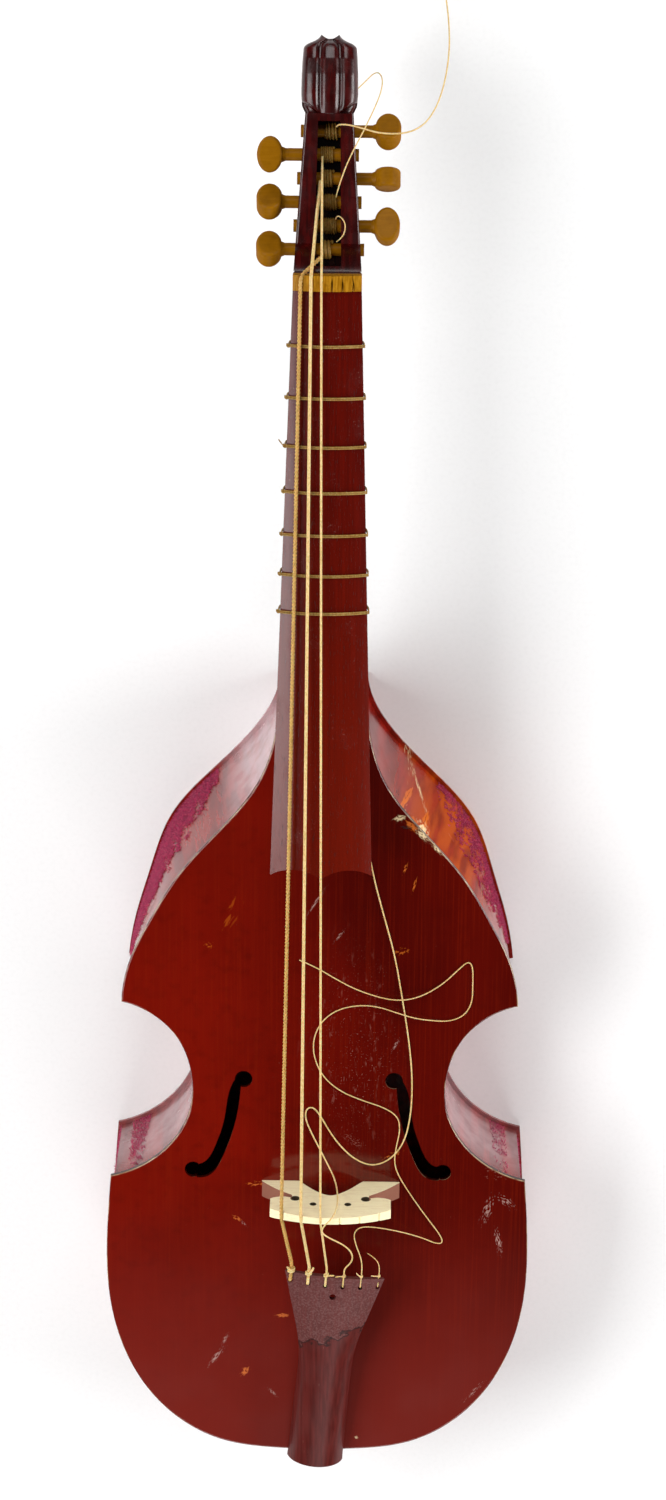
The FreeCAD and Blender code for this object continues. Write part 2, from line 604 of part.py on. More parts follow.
def make_winding(index):
    """Return the turns of string on a peg as one ridged sleeve."""
    thickness = PEGS[index][2]
    turns = int(WINDING_LENGTH / thickness)
    place = peg_place(index)
    start = winding_centre(index) - turns * thickness / 2
    edges = []
    for turn in range(turns):
        left = start + turn * thickness
        low = PEG_RADIUS + thickness / 2
        edges.append(Part.Arc(V(left, low, 0), V(left + thickness / 2, low + thickness / 2, 0),
                              V(left + thickness, low, 0)).toShape())
    end = start + turns * thickness
    corners = [V(end, PEG_RADIUS + thickness / 2, 0), V(end, PEG_RADIUS, 0), V(start, PEG_RADIUS, 0),
               V(start, PEG_RADIUS + thickness / 2, 0)]
    edges += [Part.LineSegment(a, b).toShape() for a, b in zip(corners, corners[1:])]
    sleeve = Part.Face(Part.Wire(edges)).revolve(V(0, 0, 0), V(1, 0, 0), 360)
    sleeve.translate(V(0, place, 0))
    return tilt_head(sleeve)


# ---- strings ------------------------------------------------------------------------------------------
def route_wire(points, bends=None):
    """Return a path of straight runs joined by tangent arcs, and the tightest arc's radius.

    Each arc is as large as its two runs allow unless bends gives a radius for that point.
    """
    vectors = [V(*point) for point in points]
    edges = []
    tightest = 1e9
    start = vectors[0]
    for index in range(1, len(vectors) - 1):
        before = vectors[index - 1] - vectors[index]
        after = vectors[index + 1] - vectors[index]
        half_turn = (math.pi - before.getAngle(after)) / 2
        radius = 0.45 * min(before.Length, after.Length) / math.tan(half_turn)
        if bends and index in bends:
            radius = bends[index]
        back_off = radius * math.tan(half_turn)
        toward, away = before.normalize(), after.normalize()
        arc_start = vectors[index] + toward * back_off
        arc_end = vectors[index] + away * back_off
        middle = (toward + away).normalize()
        summit = vectors[index] + middle * (radius / math.cos(half_turn) - radius)
        edges.append(Part.LineSegment(start, arc_start).toShape())
        edges.append(Part.Arc(arc_start, summit, arc_end).toShape())
        start = arc_end
        tightest = min(tightest, radius)
    edges.append(Part.LineSegment(start, vectors[-1]).toShape())
    return Part.Wire(edges), tightest


def tube(name, points, radius, bends=None):
    """Return a round string along a route; with a name, print its length and tightest bend."""
    path, tightest = route_wire(points, bends)
    direction = V(*points[1]) - V(*points[0])
    section = Part.Wire(Part.makeCircle(radius, V(*points[0]), direction))
    solid = path.makePipeShell([section], True, False)
    ratio = solid.Volume / (math.pi * radius ** 2 * path.Length)
    if name:
        print(f"{name}: length {path.Length:.1f} mm, volume ratio {ratio:.4f}, "
              f"tightest arc {tightest:.1f} mm")
    return solid


def tail_point(across, along):
    """Return the plan place of a point given across and along the skewed tailpiece."""
    angle = math.radians(TAIL_SKEW)
    return (across * math.cos(angle) + along * math.sin(angle),
            TAIL_END_Y - across * math.sin(angle) + along * math.cos(angle))


def tail_section(along):
    """Return half-width, rise of the arch and height of the tailpiece's ridge at a station."""
    share = along / TAIL_LENGTH
    stations = [(0.0, 21.5, 17.0), (0.38, 20.6, 14.0), (0.62, 22.0, 10.5), (0.8, 29.0, 8.0), (1.0, 37.8, 6.0)]
    for low, high in zip(stations, stations[1:]):
        if share <= high[0]:
            part = (share - low[0]) / (high[0] - low[0])
            half = low[1] + (high[1] - low[1]) * part
            rise = low[2] + (high[2] - low[2]) * part
            return half, rise, TAIL_END_HEIGHT + (TAIL_TOP_HEIGHT - TAIL_END_HEIGHT) * share
    return stations[-1][1], stations[-1][2], TAIL_TOP_HEIGHT


def tail_surface(across, along):
    """Return the height of the tailpiece's top at a place on it."""
    half, rise, ridge = tail_section(along)
    radius = (half ** 2 + rise ** 2) / (2 * rise)
    return ridge - radius + math.sqrt(radius ** 2 - across ** 2)


def string_hole(index):
    """Return across, along of one string's hole in the tailpiece."""
    return ((index - 2.5) * TAIL_HOLE_PITCH, TAIL_LENGTH - TAIL_HOLE_INSET)


def crown_height(x):
    """Return the height of the bridge's crown."""
    return BRIDGE_HEIGHT - BRIDGE_CROWN_RADIUS + math.sqrt(BRIDGE_CROWN_RADIUS ** 2 - (x - BRIDGE_X) ** 2)


def bridge_crossing(index):
    """Return x of a string's notch in the bridge."""
    return BRIDGE_X + (index - 2.5) * BRIDGE_SPACING


def whole_string_route(index, peg, peg_x):
    """Return the points of a whole string, from its peg over nut and bridge into the tailpiece."""
    radius = STRING_RADII[index]
    nut_x = (index - 2.55) * NUT_SPACING
    nut_z = board_height(STRING_LENGTH) - camber(abs(nut_x)) + STRING_OVER_NUT + radius
    wound = PEG_RADIUS + PEGS[peg][2] + radius + GAP
    up = wound * (0.75 if index == 0 else 0.98)
    back = -math.sqrt(wound ** 2 - up ** 2)
    leave = head_point(peg_x, peg_place(peg) + back, up)
    bridge_x = bridge_crossing(index)
    bridge_z = crown_height(bridge_x) + radius * 0.4
    across, along = string_hole(index)
    edge_x, edge_y = tail_point(across, TAIL_LENGTH + BREAK_OUT)
    hole_x, hole_y = tail_point(across, along)
    top = tail_surface(across, along) + radius + GAP
    return [leave, (nut_x, NUT_BACK_Y - 1.0, nut_z), (nut_x, STRING_LENGTH + 1.0, nut_z),
            (bridge_x, 0, bridge_z), (edge_x, edge_y, top), (hole_x, hole_y, top),
            (hole_x, hole_y, top - TAIL_THICKNESS - 4.0)]


def whole_string(index, peg, peg_x, grow=0.0):
    """Return a whole string, or with grow the groove that it lies in."""
    radius = STRING_RADII[index]
    bends = {1: 3.0, 2: 20.0, 3: 8.0, 4: 4.0, 5: radius + 1.2}
    name = f"string {index + 1}" if not grow else ""
    return tube(name, whole_string_route(index, peg, peg_x), radius + grow, bends)


def make_bridge():
    """Return the bridge without string notches: two feet, an arch, two arms and a round crown."""
    legs = [(BRIDGE_LEG_HALF, 0), (17.5, 9.0), (8.5, 18.5), (0, 22.8), (-8.5, 18.5), (-17.5, 9.0),
            (-BRIDGE_LEG_HALF, 0)]
    foot = [(BRIDGE_FOOT_HALF, 1.6), (46, 8.6), (38.5, 15.8), (29, 22.6)]
    arm = [(29, 27.0), (37, 25.5), (BRIDGE_CROWN_HALF, 28.5)]
    crown_end = crown_height(BRIDGE_X + BRIDGE_CROWN_HALF)

    def at(points):
        return [(BRIDGE_X + x, 0, z) for x, z in points]

    def line(first, last):
        return Part.LineSegment(V(*at([first])[0]), V(*at([last])[0])).toShape()

    def flip(points):
        return [(-x, z) for x, z in reversed(points)]

    top = Part.Arc(V(BRIDGE_X + BRIDGE_CROWN_HALF, 0, crown_end), V(BRIDGE_X, 0, BRIDGE_HEIGHT),
                   V(BRIDGE_X - BRIDGE_CROWN_HALF, 0, crown_end)).toShape()
    edges = [edge(at(legs)), line((BRIDGE_FOOT_HALF, 0), (BRIDGE_LEG_HALF, 0)),
             line(foot[0], (BRIDGE_FOOT_HALF, 0)),
             edge(at(foot)), line(foot[-1], arm[0]), edge(at(arm)),
             line(arm[-1], (BRIDGE_CROWN_HALF, crown_end)), top,
             line((-BRIDGE_CROWN_HALF, crown_end), flip(arm)[0]), edge(at(flip(arm))),
             line(flip(arm)[-1], flip(foot)[0]), edge(at(flip(foot))),
             line(flip(foot)[-1], (-BRIDGE_FOOT_HALF, 0)),
             line((-BRIDGE_FOOT_HALF, 0), (-BRIDGE_LEG_HALF, 0))]
    face = Part.Face(Part.Wire(Part.__sortEdges__(edges)))
    face.translate(V(0, -BRIDGE_FOOT_THICKNESS, 0))
    slab = face.extrude(V(0, 2 * BRIDGE_FOOT_THICKNESS, 0))
    foot_half = BRIDGE_FOOT_THICKNESS / 2
    crown_half = BRIDGE_CROWN_THICKNESS / 2
    left = BRIDGE_X - BRIDGE_FOOT_HALF - 1
    wedge = [(left, -foot_half, 0), (left, foot_half, 0), (left, foot_half, 3),
             (left, crown_half, BRIDGE_HEIGHT + 1), (left, -crown_half, BRIDGE_HEIGHT + 1),
             (left, -foot_half, 3)]
    bridge = slab.common(polygon_face(wedge).extrude(V(2 * BRIDGE_FOOT_HALF + 2, 0, 0)))
    for out, up, radius in (BRIDGE_SIDE_EYE, BRIDGE_SMALL_EYE):
        for x in (BRIDGE_X - out, BRIDGE_X + out):
            bridge = bridge.cut(rod(radius, (x, -20, up), (x, 20, up)))
    for index in range(len(WHOLE_STRINGS), len(STRING_RADII)):
        x = bridge_crossing(index)
        z = crown_height(x)
        bridge = bridge.cut(rod(STRING_RADII[index] + 0.4, (x, -20, z), (x, 20, z)))
    return bridge


def make_tailpiece():
    """Return the tailpiece: a half tube at its end that opens to a wide, nearly flat plate."""
    angle = math.radians(TAIL_SKEW)
    wires = []
    for share in (0.0, 0.2, 0.38, 0.62, 0.8, 0.92, 1.0):
        along = TAIL_LENGTH * share
        half, rise, ridge = tail_section(along)
        inner_half = half - TAIL_THICKNESS * rise / (half / 2 + rise)
        inner_rise = max(rise - TAIL_THICKNESS * 0.12, 1.0)
        foot = ridge - rise
        drop = min(TAIL_THICKNESS, rise + 0.001)

        def place(across, height):
            x, y = tail_point(across, along)
            return V(x, y, height)

        outer = Part.Arc(place(-half, foot), place(0, ridge), place(half, foot)).toShape()
        low = foot - (TAIL_THICKNESS - drop * rise / (half / 2 + rise)) * 0.6
        low = max(low, 0.6)
        inner = Part.Arc(place(inner_half, low), place(0, ridge - TAIL_THICKNESS),
                         place(-inner_half, low)).toShape()
        right = Part.LineSegment(place(half, foot), place(inner_half, low)).toShape()
        left = Part.LineSegment(place(-inner_half, low), place(-half, foot)).toShape()
        wires.append(Part.Wire([outer, right, inner, left]))
    solid = Part.makeLoft(wires, True, False)
    for index in range(len(STRING_RADII)):
        x, y = tail_point(*string_hole(index))
        radius = max(TAIL_HOLE_RADIUS, STRING_RADII[index] + 0.35)
        solid = solid.cut(Part.makeCylinder(radius, 60, V(x, y, 0)))
    x, y = tail_point(0, TAIL_LENGTH - HOOK_HOLE_INSET)
    return solid.cut(Part.makeCylinder(HOOK_HOLE_RADIUS, 60, V(x, y, 0)))


def make_knots():
    """Return the knots of all six strings at the tailpiece's edge."""
    knots = []
    for index, radius in enumerate(STRING_RADII):
        across, along = string_hole(index)
        x, y = tail_point(across, TAIL_LENGTH + KNOT_OUT)
        top = tail_surface(across, along) + radius + GAP
        skew = math.radians(TAIL_SKEW)
        knots.append(Part.makeTorus(radius + KNOT_THICKNESS / 2 + SLOT_CLEARANCE, KNOT_THICKNESS / 2,
                                    V(x, y, top), V(math.sin(skew), math.cos(skew), 0)))
    return Part.makeCompound(knots)


# ---- broken strings -------------------------------------------------------------------------------------
# Each list is the string's run in space, from where it is tied or wound to its bare broken end. The
# runs from the pegs are written for the drawn string length and move with the head when it changes.
LIES_ON_BELLY = 0.85
DRAWN_STRING_LENGTH = 696.0
BROKEN_FROM_TAIL = {
    4: [(21.0, -50.5, 33.4), (25.4, -44.5, 37.0), (27.3, -37.0, 43.0), (25.6, -28.0, 49.5),
        (19.0, -19.5, 55.5), (9.5, -13.0, 59.5), (3.4, -7.5, 62.0), (4.8, -1.8, 63.2), (10.5, 3.0, 61.5),
        (14.6, 7.5, 53.0), (15.4, 9.0, 38.0), (14.8, 9.8, 23.0), (12.8, 12.4, 9.5), (8.4, 19.0, 2.4),
        (2.2, 31.0, LIES_ON_BELLY), (-5.4, 46.5, LIES_ON_BELLY), (-9.9, 57.5, LIES_ON_BELLY),
        (-9.4, 66.0, LIES_ON_BELLY), (-3.6, 67.4, LIES_ON_BELLY), (2.2, 59.0, LIES_ON_BELLY),
        (8.4, 47.5, LIES_ON_BELLY), (16.6, 35.6, LIES_ON_BELLY), (27.6, 24.8, LIES_ON_BELLY),
        (41.0, 19.2, LIES_ON_BELLY), (54.6, 24.6, LIES_ON_BELLY), (65.2, 39.4, LIES_ON_BELLY),
        (69.8, 63.0, LIES_ON_BELLY), (70.2, 93.0, LIES_ON_BELLY), (66.8, 124.5, LIES_ON_BELLY),
        (61.2, 158.0, LIES_ON_BELLY), (55.4, 191.0, LIES_ON_BELLY), (45.2, 227.5, LIES_ON_BELLY),
        (38.0, 255.0, LIES_ON_BELLY), (34.0, 277.0, LIES_ON_BELLY)],
    5: [(34.4, -49.5, 31.8), (33.2, -42.0, 30.5), (29.4, -33.5, 28.0), (27.4, -25.6, 24.5),
        (32.4, -21.6, 20.5), (45.5, -25.4, 13.5), (64.5, -32.6, 6.0), (80.5, -39.4, 1.6),
        (90.0, -44.2, LIES_ON_BELLY), (95.8, -44.0, LIES_ON_BELLY), (94.0, -37.6, LIES_ON_BELLY),
        (85.5, -26.0, LIES_ON_BELLY), (75.0, -11.0, LIES_ON_BELLY), (65.8, 3.4, LIES_ON_BELLY),
        (59.8, 14.5, LIES_ON_BELLY), (57.6, 24.5, 3.7), (58.8, 36.5, 3.7), (61.6, 48.0, LIES_ON_BELLY),
        (60.4, 60.0, LIES_ON_BELLY), (49.6, 67.6, LIES_ON_BELLY), (32.0, 73.4, LIES_ON_BELLY),
        (15.6, 80.6, LIES_ON_BELLY), (2.6, 92.4, LIES_ON_BELLY), (-4.2, 108.6, LIES_ON_BELLY),
        (-4.4, 123.6, LIES_ON_BELLY), (1.6, 137.2, LIES_ON_BELLY), (13.2, 146.6, LIES_ON_BELLY),
        (28.6, 150.4, LIES_ON_BELLY), (43.6, 149.4, LIES_ON_BELLY), (57.2, 145.8, 3.7),
        (70.2, 141.6, 3.7), (83.6, 138.6, LIES_ON_BELLY), (97.4, 138.2, LIES_ON_BELLY),
        (108.4, 143.2, LIES_ON_BELLY), (113.8, 154.0, LIES_ON_BELLY), (113.8, 169.0, LIES_ON_BELLY),
        (113.6, 182.0, LIES_ON_BELLY), (110.2, 186.8, LIES_ON_BELLY), (103.4, 180.4, LIES_ON_BELLY),
        (93.2, 169.6, LIES_ON_BELLY), (81.2, 160.9, LIES_ON_BELLY), (68.6, 156.6, 3.7),
        (55.4, 155.6, 3.7), (42.0, 157.4, LIES_ON_BELLY), (26.4, 163.0, LIES_ON_BELLY),
        (11.0, 171.4, LIES_ON_BELLY), (-2.4, 180.0, LIES_ON_BELLY), (-15.4, 185.8, LIES_ON_BELLY)],
    6: [(47.5, -53.5, 28.1), (47.0, -49.0, 27.4), (43.8, -45.4, 24.8), (38.4, -43.2, 21.6)],
}
BROKEN_FROM_PEG = {
    "peg_6": (0.55, [(5.2, 804.5, -0.6), (5.8, 806.2, 3.6), (8.2, 807.4, 8.0), (13.6, 807.6, 10.4),
                     (23.0, 805.4, 11.0), (32.6, 802.6, 11.1), (42.0, 801.8, 11.1), (51.4, 802.2, 10.8),
                     (60.2, 804.4, 8.2), (68.4, 809.8, 1.6), (75.8, 820.4, -12.0), (81.0, 835.4, -33.0),
                     (83.6, 851.0, -58.0), (83.4, 865.0, -80.0), (82.0, 877.6, -96.0),
                     (79.6, 888.6, -103.8), (75.6, 901.0, -104.0)]),
    "peg_3": (0.45, [(5.5, 757.2, 9.3), (6.2, 762.0, 14.0), (8.4, 770.4, 19.0), (12.9, 783.4, 21.6),
                     (19.6, 797.0, 20.6), (26.2, 809.4, 15.8), (32.4, 821.2, 5.4), (36.2, 829.6, -10.0),
                     (36.6, 834.2, -29.0), (34.0, 835.4, -49.0), (30.0, 831.4, -68.0),
                     (24.8, 823.4, -85.0), (16.6, 813.4, -98.0), (5.6, 806.6, -104.0),
                     (-7.4, 805.4, -104.1)]),
    "peg_2": (0.4, [(5.3, 741.9, 11.0), (5.6, 744.9, 15.8), (8.4, 746.0, 21.0), (12.0, 742.0, 23.8),
                    (11.8, 735.6, 24.4), (9.0, 730.6, 22.6), (6.0, 727.8, 19.4)]),
}


def tied_run(number):
    """Return the first run of a broken string, from its hole through its knot."""
    radius = STRING_RADII[number - 1]
    across, along = string_hole(number - 1)
    height = tail_surface(across, along) + radius + GAP
    tied = tail_point(across, along + 1.0)
    through_knot = tail_point(across, TAIL_LENGTH + KNOT_OUT + 1.5)
    return (*tied, height), (*through_knot, height)


def broken_tail_string(number):
    """Return a broken string that is still tied to the tailpiece."""
    route = [*tied_run(number), *BROKEN_FROM_TAIL[number]]
    return tube(f"broken string {number}", route, STRING_RADII[number - 1])


# ---- the whole instrument ---------------------------------------------------------------------------
def make_instrument():
    """Return every piece of the instrument by node name, and the names of the loose strings."""
    parts = make_body()
    grooves = [whole_string(*choice, grow=SLOT_CLEARANCE) for choice in WHOLE_STRINGS]
    for name, shape in (("nut", make_nut()), ("bridge", make_bridge()), ("tailpiece", make_tailpiece())):
        for groove in grooves:
            shape = shape.cut(groove)
        parts[name] = shape
    for number in BROKEN_FROM_TAIL:
        tied, through_knot = tied_run(number)
        groove = rod(STRING_RADII[number - 1] + SLOT_CLEARANCE, tied, through_knot)
        parts["tailpiece"] = parts["tailpiece"].cut(groove)
    for index in range(len(WHOLE_STRINGS), len(STRING_RADII)):
        x = (index - 2.55) * NUT_SPACING
        z = board_height(STRING_LENGTH) - camber(abs(x)) + STRING_OVER_NUT + 0.8
        slot = rod(STRING_RADII[index] + 0.3, (x, STRING_LENGTH - 1, z), (x, NUT_BACK_Y + 1, z - 1.5))
        parts["nut"] = parts["nut"].cut(slot)
    parts["neck"] = make_neck()
    parts["fingerboard"] = make_fingerboard()
    parts["pegbox"] = make_pegbox()
    parts["finial"] = make_finial()
    for number in range(1, FRET_COUNT + 1):
        parts[f"fret_{number}"] = make_fret(number)
    for index in range(len(PEGS)):
        parts[f"peg_{index + 1}"] = make_peg(index)
        parts[f"winding_{index + 1}"] = make_winding(index)
    for index, peg, peg_x in WHOLE_STRINGS:
        parts[f"string_{index + 1}"] = whole_string(index, peg, peg_x)
    parts["string_knots"] = make_knots()
    loose = {}
    for number in BROKEN_FROM_TAIL:
        loose[f"broken_string_{number}"] = broken_tail_string(number)
    for peg, (radius, route) in BROKEN_FROM_PEG.items():
        moved = [(x, y + STRING_LENGTH - DRAWN_STRING_LENGTH, z) for x, y, z in route]
        loose[f"broken_end_{peg}"] = tube(f"broken end on {peg}", moved, radius)
    return parts, loose


def main():
    """Build the instrument, centre it over the surface it lies on and write one file per piece."""
    parts, loose = make_instrument()
    bounds = FreeCAD.BoundBox()
    for shape in parts.values():
        bounds.add(shape.optimalBoundingBox(False, False))
    shift = V(-bounds.Center.x, -bounds.Center.y, -BACK_OUTSIDE)
    print(f"bridge line at y = {shift.y:.3f}, belly at z = {shift.z:.3f}")
    os.makedirs("parts", exist_ok=True)
    for name, shape in {**parts, **loose}.items():
        placed = shape.copy()
        placed.translate(shift)
        placed.exportStep(f"parts/{name}.step")


if __name__ == "__main__":
    main()
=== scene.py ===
"""Visual model of a six-string bass viol with three broken strings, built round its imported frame.

Places are written in millimetres from the middle of the bridge on the belly's face: X to the treble
side, Y towards the head, Z up, as in the CAD source. ``Layout`` turns them into metres in the frame.
"""

from __future__ import annotations

import json
import logging
import math
from collections.abc import Mapping, Sequence
from dataclasses import dataclass
from enum import Enum

import bpy
import numpy as np
from mathutils import Matrix, Vector
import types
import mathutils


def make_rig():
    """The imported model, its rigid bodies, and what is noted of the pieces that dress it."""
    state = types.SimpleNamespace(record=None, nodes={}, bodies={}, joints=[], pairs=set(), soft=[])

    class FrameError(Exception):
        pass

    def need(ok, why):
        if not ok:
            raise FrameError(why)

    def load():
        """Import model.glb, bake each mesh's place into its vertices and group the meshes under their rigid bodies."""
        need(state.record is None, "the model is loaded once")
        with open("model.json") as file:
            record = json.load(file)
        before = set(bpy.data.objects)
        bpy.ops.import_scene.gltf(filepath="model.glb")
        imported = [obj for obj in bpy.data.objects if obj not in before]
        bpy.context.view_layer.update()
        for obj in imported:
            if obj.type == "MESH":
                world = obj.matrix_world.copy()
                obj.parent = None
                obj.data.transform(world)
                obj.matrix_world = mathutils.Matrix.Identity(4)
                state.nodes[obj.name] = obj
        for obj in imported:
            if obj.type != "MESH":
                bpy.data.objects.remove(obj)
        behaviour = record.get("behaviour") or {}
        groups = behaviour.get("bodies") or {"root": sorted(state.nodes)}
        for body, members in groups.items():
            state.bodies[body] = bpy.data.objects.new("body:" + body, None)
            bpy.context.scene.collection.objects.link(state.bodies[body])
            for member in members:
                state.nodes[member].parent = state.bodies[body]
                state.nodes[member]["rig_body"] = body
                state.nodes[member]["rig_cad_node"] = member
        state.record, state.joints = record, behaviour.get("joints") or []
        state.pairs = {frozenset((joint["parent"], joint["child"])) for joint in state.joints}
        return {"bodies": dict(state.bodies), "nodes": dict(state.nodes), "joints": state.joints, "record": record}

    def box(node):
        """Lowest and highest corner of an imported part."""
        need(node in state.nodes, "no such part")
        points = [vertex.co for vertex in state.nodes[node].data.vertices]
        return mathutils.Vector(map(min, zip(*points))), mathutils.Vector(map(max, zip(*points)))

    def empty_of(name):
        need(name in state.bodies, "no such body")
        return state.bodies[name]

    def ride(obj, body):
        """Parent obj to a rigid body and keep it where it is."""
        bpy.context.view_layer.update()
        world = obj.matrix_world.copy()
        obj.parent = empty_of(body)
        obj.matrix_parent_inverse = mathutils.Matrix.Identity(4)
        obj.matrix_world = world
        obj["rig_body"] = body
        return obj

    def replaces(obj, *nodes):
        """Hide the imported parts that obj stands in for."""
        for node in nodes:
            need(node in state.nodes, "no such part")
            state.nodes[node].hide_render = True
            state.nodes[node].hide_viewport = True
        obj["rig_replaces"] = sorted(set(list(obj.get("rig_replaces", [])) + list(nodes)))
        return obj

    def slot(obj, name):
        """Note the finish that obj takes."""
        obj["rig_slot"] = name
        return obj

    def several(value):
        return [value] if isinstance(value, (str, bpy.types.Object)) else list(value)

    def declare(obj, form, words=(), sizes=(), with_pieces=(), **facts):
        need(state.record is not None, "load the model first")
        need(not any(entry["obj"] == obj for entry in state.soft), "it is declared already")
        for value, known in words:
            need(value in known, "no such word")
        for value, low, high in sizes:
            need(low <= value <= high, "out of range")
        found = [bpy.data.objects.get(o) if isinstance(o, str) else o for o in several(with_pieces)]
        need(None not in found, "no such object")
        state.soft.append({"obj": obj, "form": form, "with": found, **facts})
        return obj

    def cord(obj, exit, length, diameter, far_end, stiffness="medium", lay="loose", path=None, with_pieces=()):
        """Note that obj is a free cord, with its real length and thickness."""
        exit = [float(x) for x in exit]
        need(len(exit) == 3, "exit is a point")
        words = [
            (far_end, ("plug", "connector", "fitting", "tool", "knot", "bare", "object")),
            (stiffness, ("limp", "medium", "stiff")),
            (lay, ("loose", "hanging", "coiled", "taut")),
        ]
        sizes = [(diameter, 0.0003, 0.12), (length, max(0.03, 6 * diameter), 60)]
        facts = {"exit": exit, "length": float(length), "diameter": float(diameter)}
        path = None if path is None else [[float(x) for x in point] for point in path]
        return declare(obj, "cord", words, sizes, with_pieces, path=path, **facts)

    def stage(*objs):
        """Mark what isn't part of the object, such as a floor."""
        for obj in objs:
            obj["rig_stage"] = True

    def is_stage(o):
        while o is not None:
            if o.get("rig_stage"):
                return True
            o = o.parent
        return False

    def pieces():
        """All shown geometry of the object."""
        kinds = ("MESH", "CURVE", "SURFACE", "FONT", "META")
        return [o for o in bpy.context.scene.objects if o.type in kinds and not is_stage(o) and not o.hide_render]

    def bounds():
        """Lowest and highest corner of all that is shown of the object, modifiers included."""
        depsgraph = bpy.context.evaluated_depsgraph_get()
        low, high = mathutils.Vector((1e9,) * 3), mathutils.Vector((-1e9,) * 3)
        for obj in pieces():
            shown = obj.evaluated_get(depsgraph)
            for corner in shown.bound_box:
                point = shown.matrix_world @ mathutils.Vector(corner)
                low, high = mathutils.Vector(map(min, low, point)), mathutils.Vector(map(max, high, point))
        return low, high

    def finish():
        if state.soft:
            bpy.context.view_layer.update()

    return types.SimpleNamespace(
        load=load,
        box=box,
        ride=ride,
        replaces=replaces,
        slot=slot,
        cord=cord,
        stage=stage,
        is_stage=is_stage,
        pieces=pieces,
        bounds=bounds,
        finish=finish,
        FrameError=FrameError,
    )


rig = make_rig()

LOG = logging.getLogger("viol")
MM = 0.001
SIZE_FILE = "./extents.json"
ROOT = "instrument"
# a half-size in millimetres that reaches through everything, and the gloss of uncoated surfaces
THROUGH = 10000.0
BARE_GLOSS = 0.2
SHEEN_ROUGHNESS = 0.4
Socket = bpy.types.NodeSocket
Value = float | Socket


class Tone(Enum):
    """Surface colours as sRGB hex codes."""

    BELLY = "6E0C02"
    BELLY_DEEP = "440300"
    BELLY_WARM = "7A1A04"
    # painted sheen: the paler, milky red that stands in for the belly's reflection towards the tail
    BELLY_HAZE = "70211A"
    RIB = "8C1A10"
    RIB_DEEP = "681008"
    RIB_AMBER = "A8430C"
    HEAD = "420504"
    HEAD_DEEP = "280202"
    BOARD = "5E0A01"
    BOARD_DEEP = "3E0401"
    TAIL = "5C1E1A"
    TAIL_DEEP = "4A1410"
    TAIL_WORN = "6C4442"
    BOXWOOD = "865604"
    BOXWOOD_PALE = "986610"
    BOXWOOD_DARK = "5E3A04"
    NUT = "B07C1C"
    MAPLE = "FFF2C6"
    MAPLE_DARK = "C79A5A"
    GUT = "E4C88E"
    GUT_OCHRE = "C09850"
    FRET = "8A6830"
    FRET_PALE = "B4965C"
    WOUND = "866730"
    FLOCK = "D23E70"
    FLOCK_DARK = "942650"
    FLOCK_PALE = "E088A0"
    CHIP = "C6600F"
    BARE = "E8CFA0"
    DUST = "B08A80"
    SPRUCE = "BE9560"
    # dark dirt in pores, slots, seams and hollows, and painted shade in the bridge's eyes
    GRIME = "1C0604"
    FLOOR = "F6F6F6"
    FLOOR_DIM = "F0F0F0"
    ROSIN = "94584C"
    # painted shadow on the bridge feet's upper faces
    WING = "7A3830"
    BLOOM = "DCC4C8"
    # painted glare on the ribs, standing in for the floor's reflection
    ROPE = "CFA660"
    ROPE_DARK = "9A7236"


def linear(tone: Tone) -> tuple[float, float, float, float]:
    """Turn an sRGB hex colour into the linear colour that shaders use.

    c_lin = c / 12.92 up to 0.04045, and ((c + 0.055) / 1.055) ** 2.4 above it.

    Args:
        tone: The colour.

    Returns:
        Red, green, blue and alpha.
    """
    shares = [int(tone.value[i : i + 2], 16) / 255 for i in (0, 2, 4)]
    red, green, blue = (c / 12.92 if c <= 0.04045 else ((c + 0.055) / 1.055) ** 2.4 for c in shares)
    return red, green, blue, 1.0


@dataclass(frozen=True)
class Layout:
    """Where the bridge's middle stands on the belly, in metres in the row frame."""

    bridge_line: float
    belly_face: float

    @classmethod
    def from_frame(cls) -> Layout:
        """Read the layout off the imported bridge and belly."""
        low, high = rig.box("bridge")
        return cls(bridge_line=(low[1] + high[1]) / 2, belly_face=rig.box("belly")[1][2])

    def place(self, points: Sequence[Sequence[float]]) -> np.ndarray:
        """Turn points in millimetres from the bridge into metres in the row frame.

        Args:
            points: The points, one (x, y, z) each.

        Returns:
            An array with one row per point.
        """
        return np.asarray(points, dtype=float) * MM + (0.0, self.bridge_line, self.belly_face)


@dataclass(frozen=True)
class Mark:
    """A worn, chipped or dusty spot on a flat face, seen from above, in millimetres and degrees."""

    x: float
    y: float
    wide: float
    long: float
    turn: float
    tone: Tone
    grain: float = 3.0
    cover: float = 0.5
    strength: float = 0.8


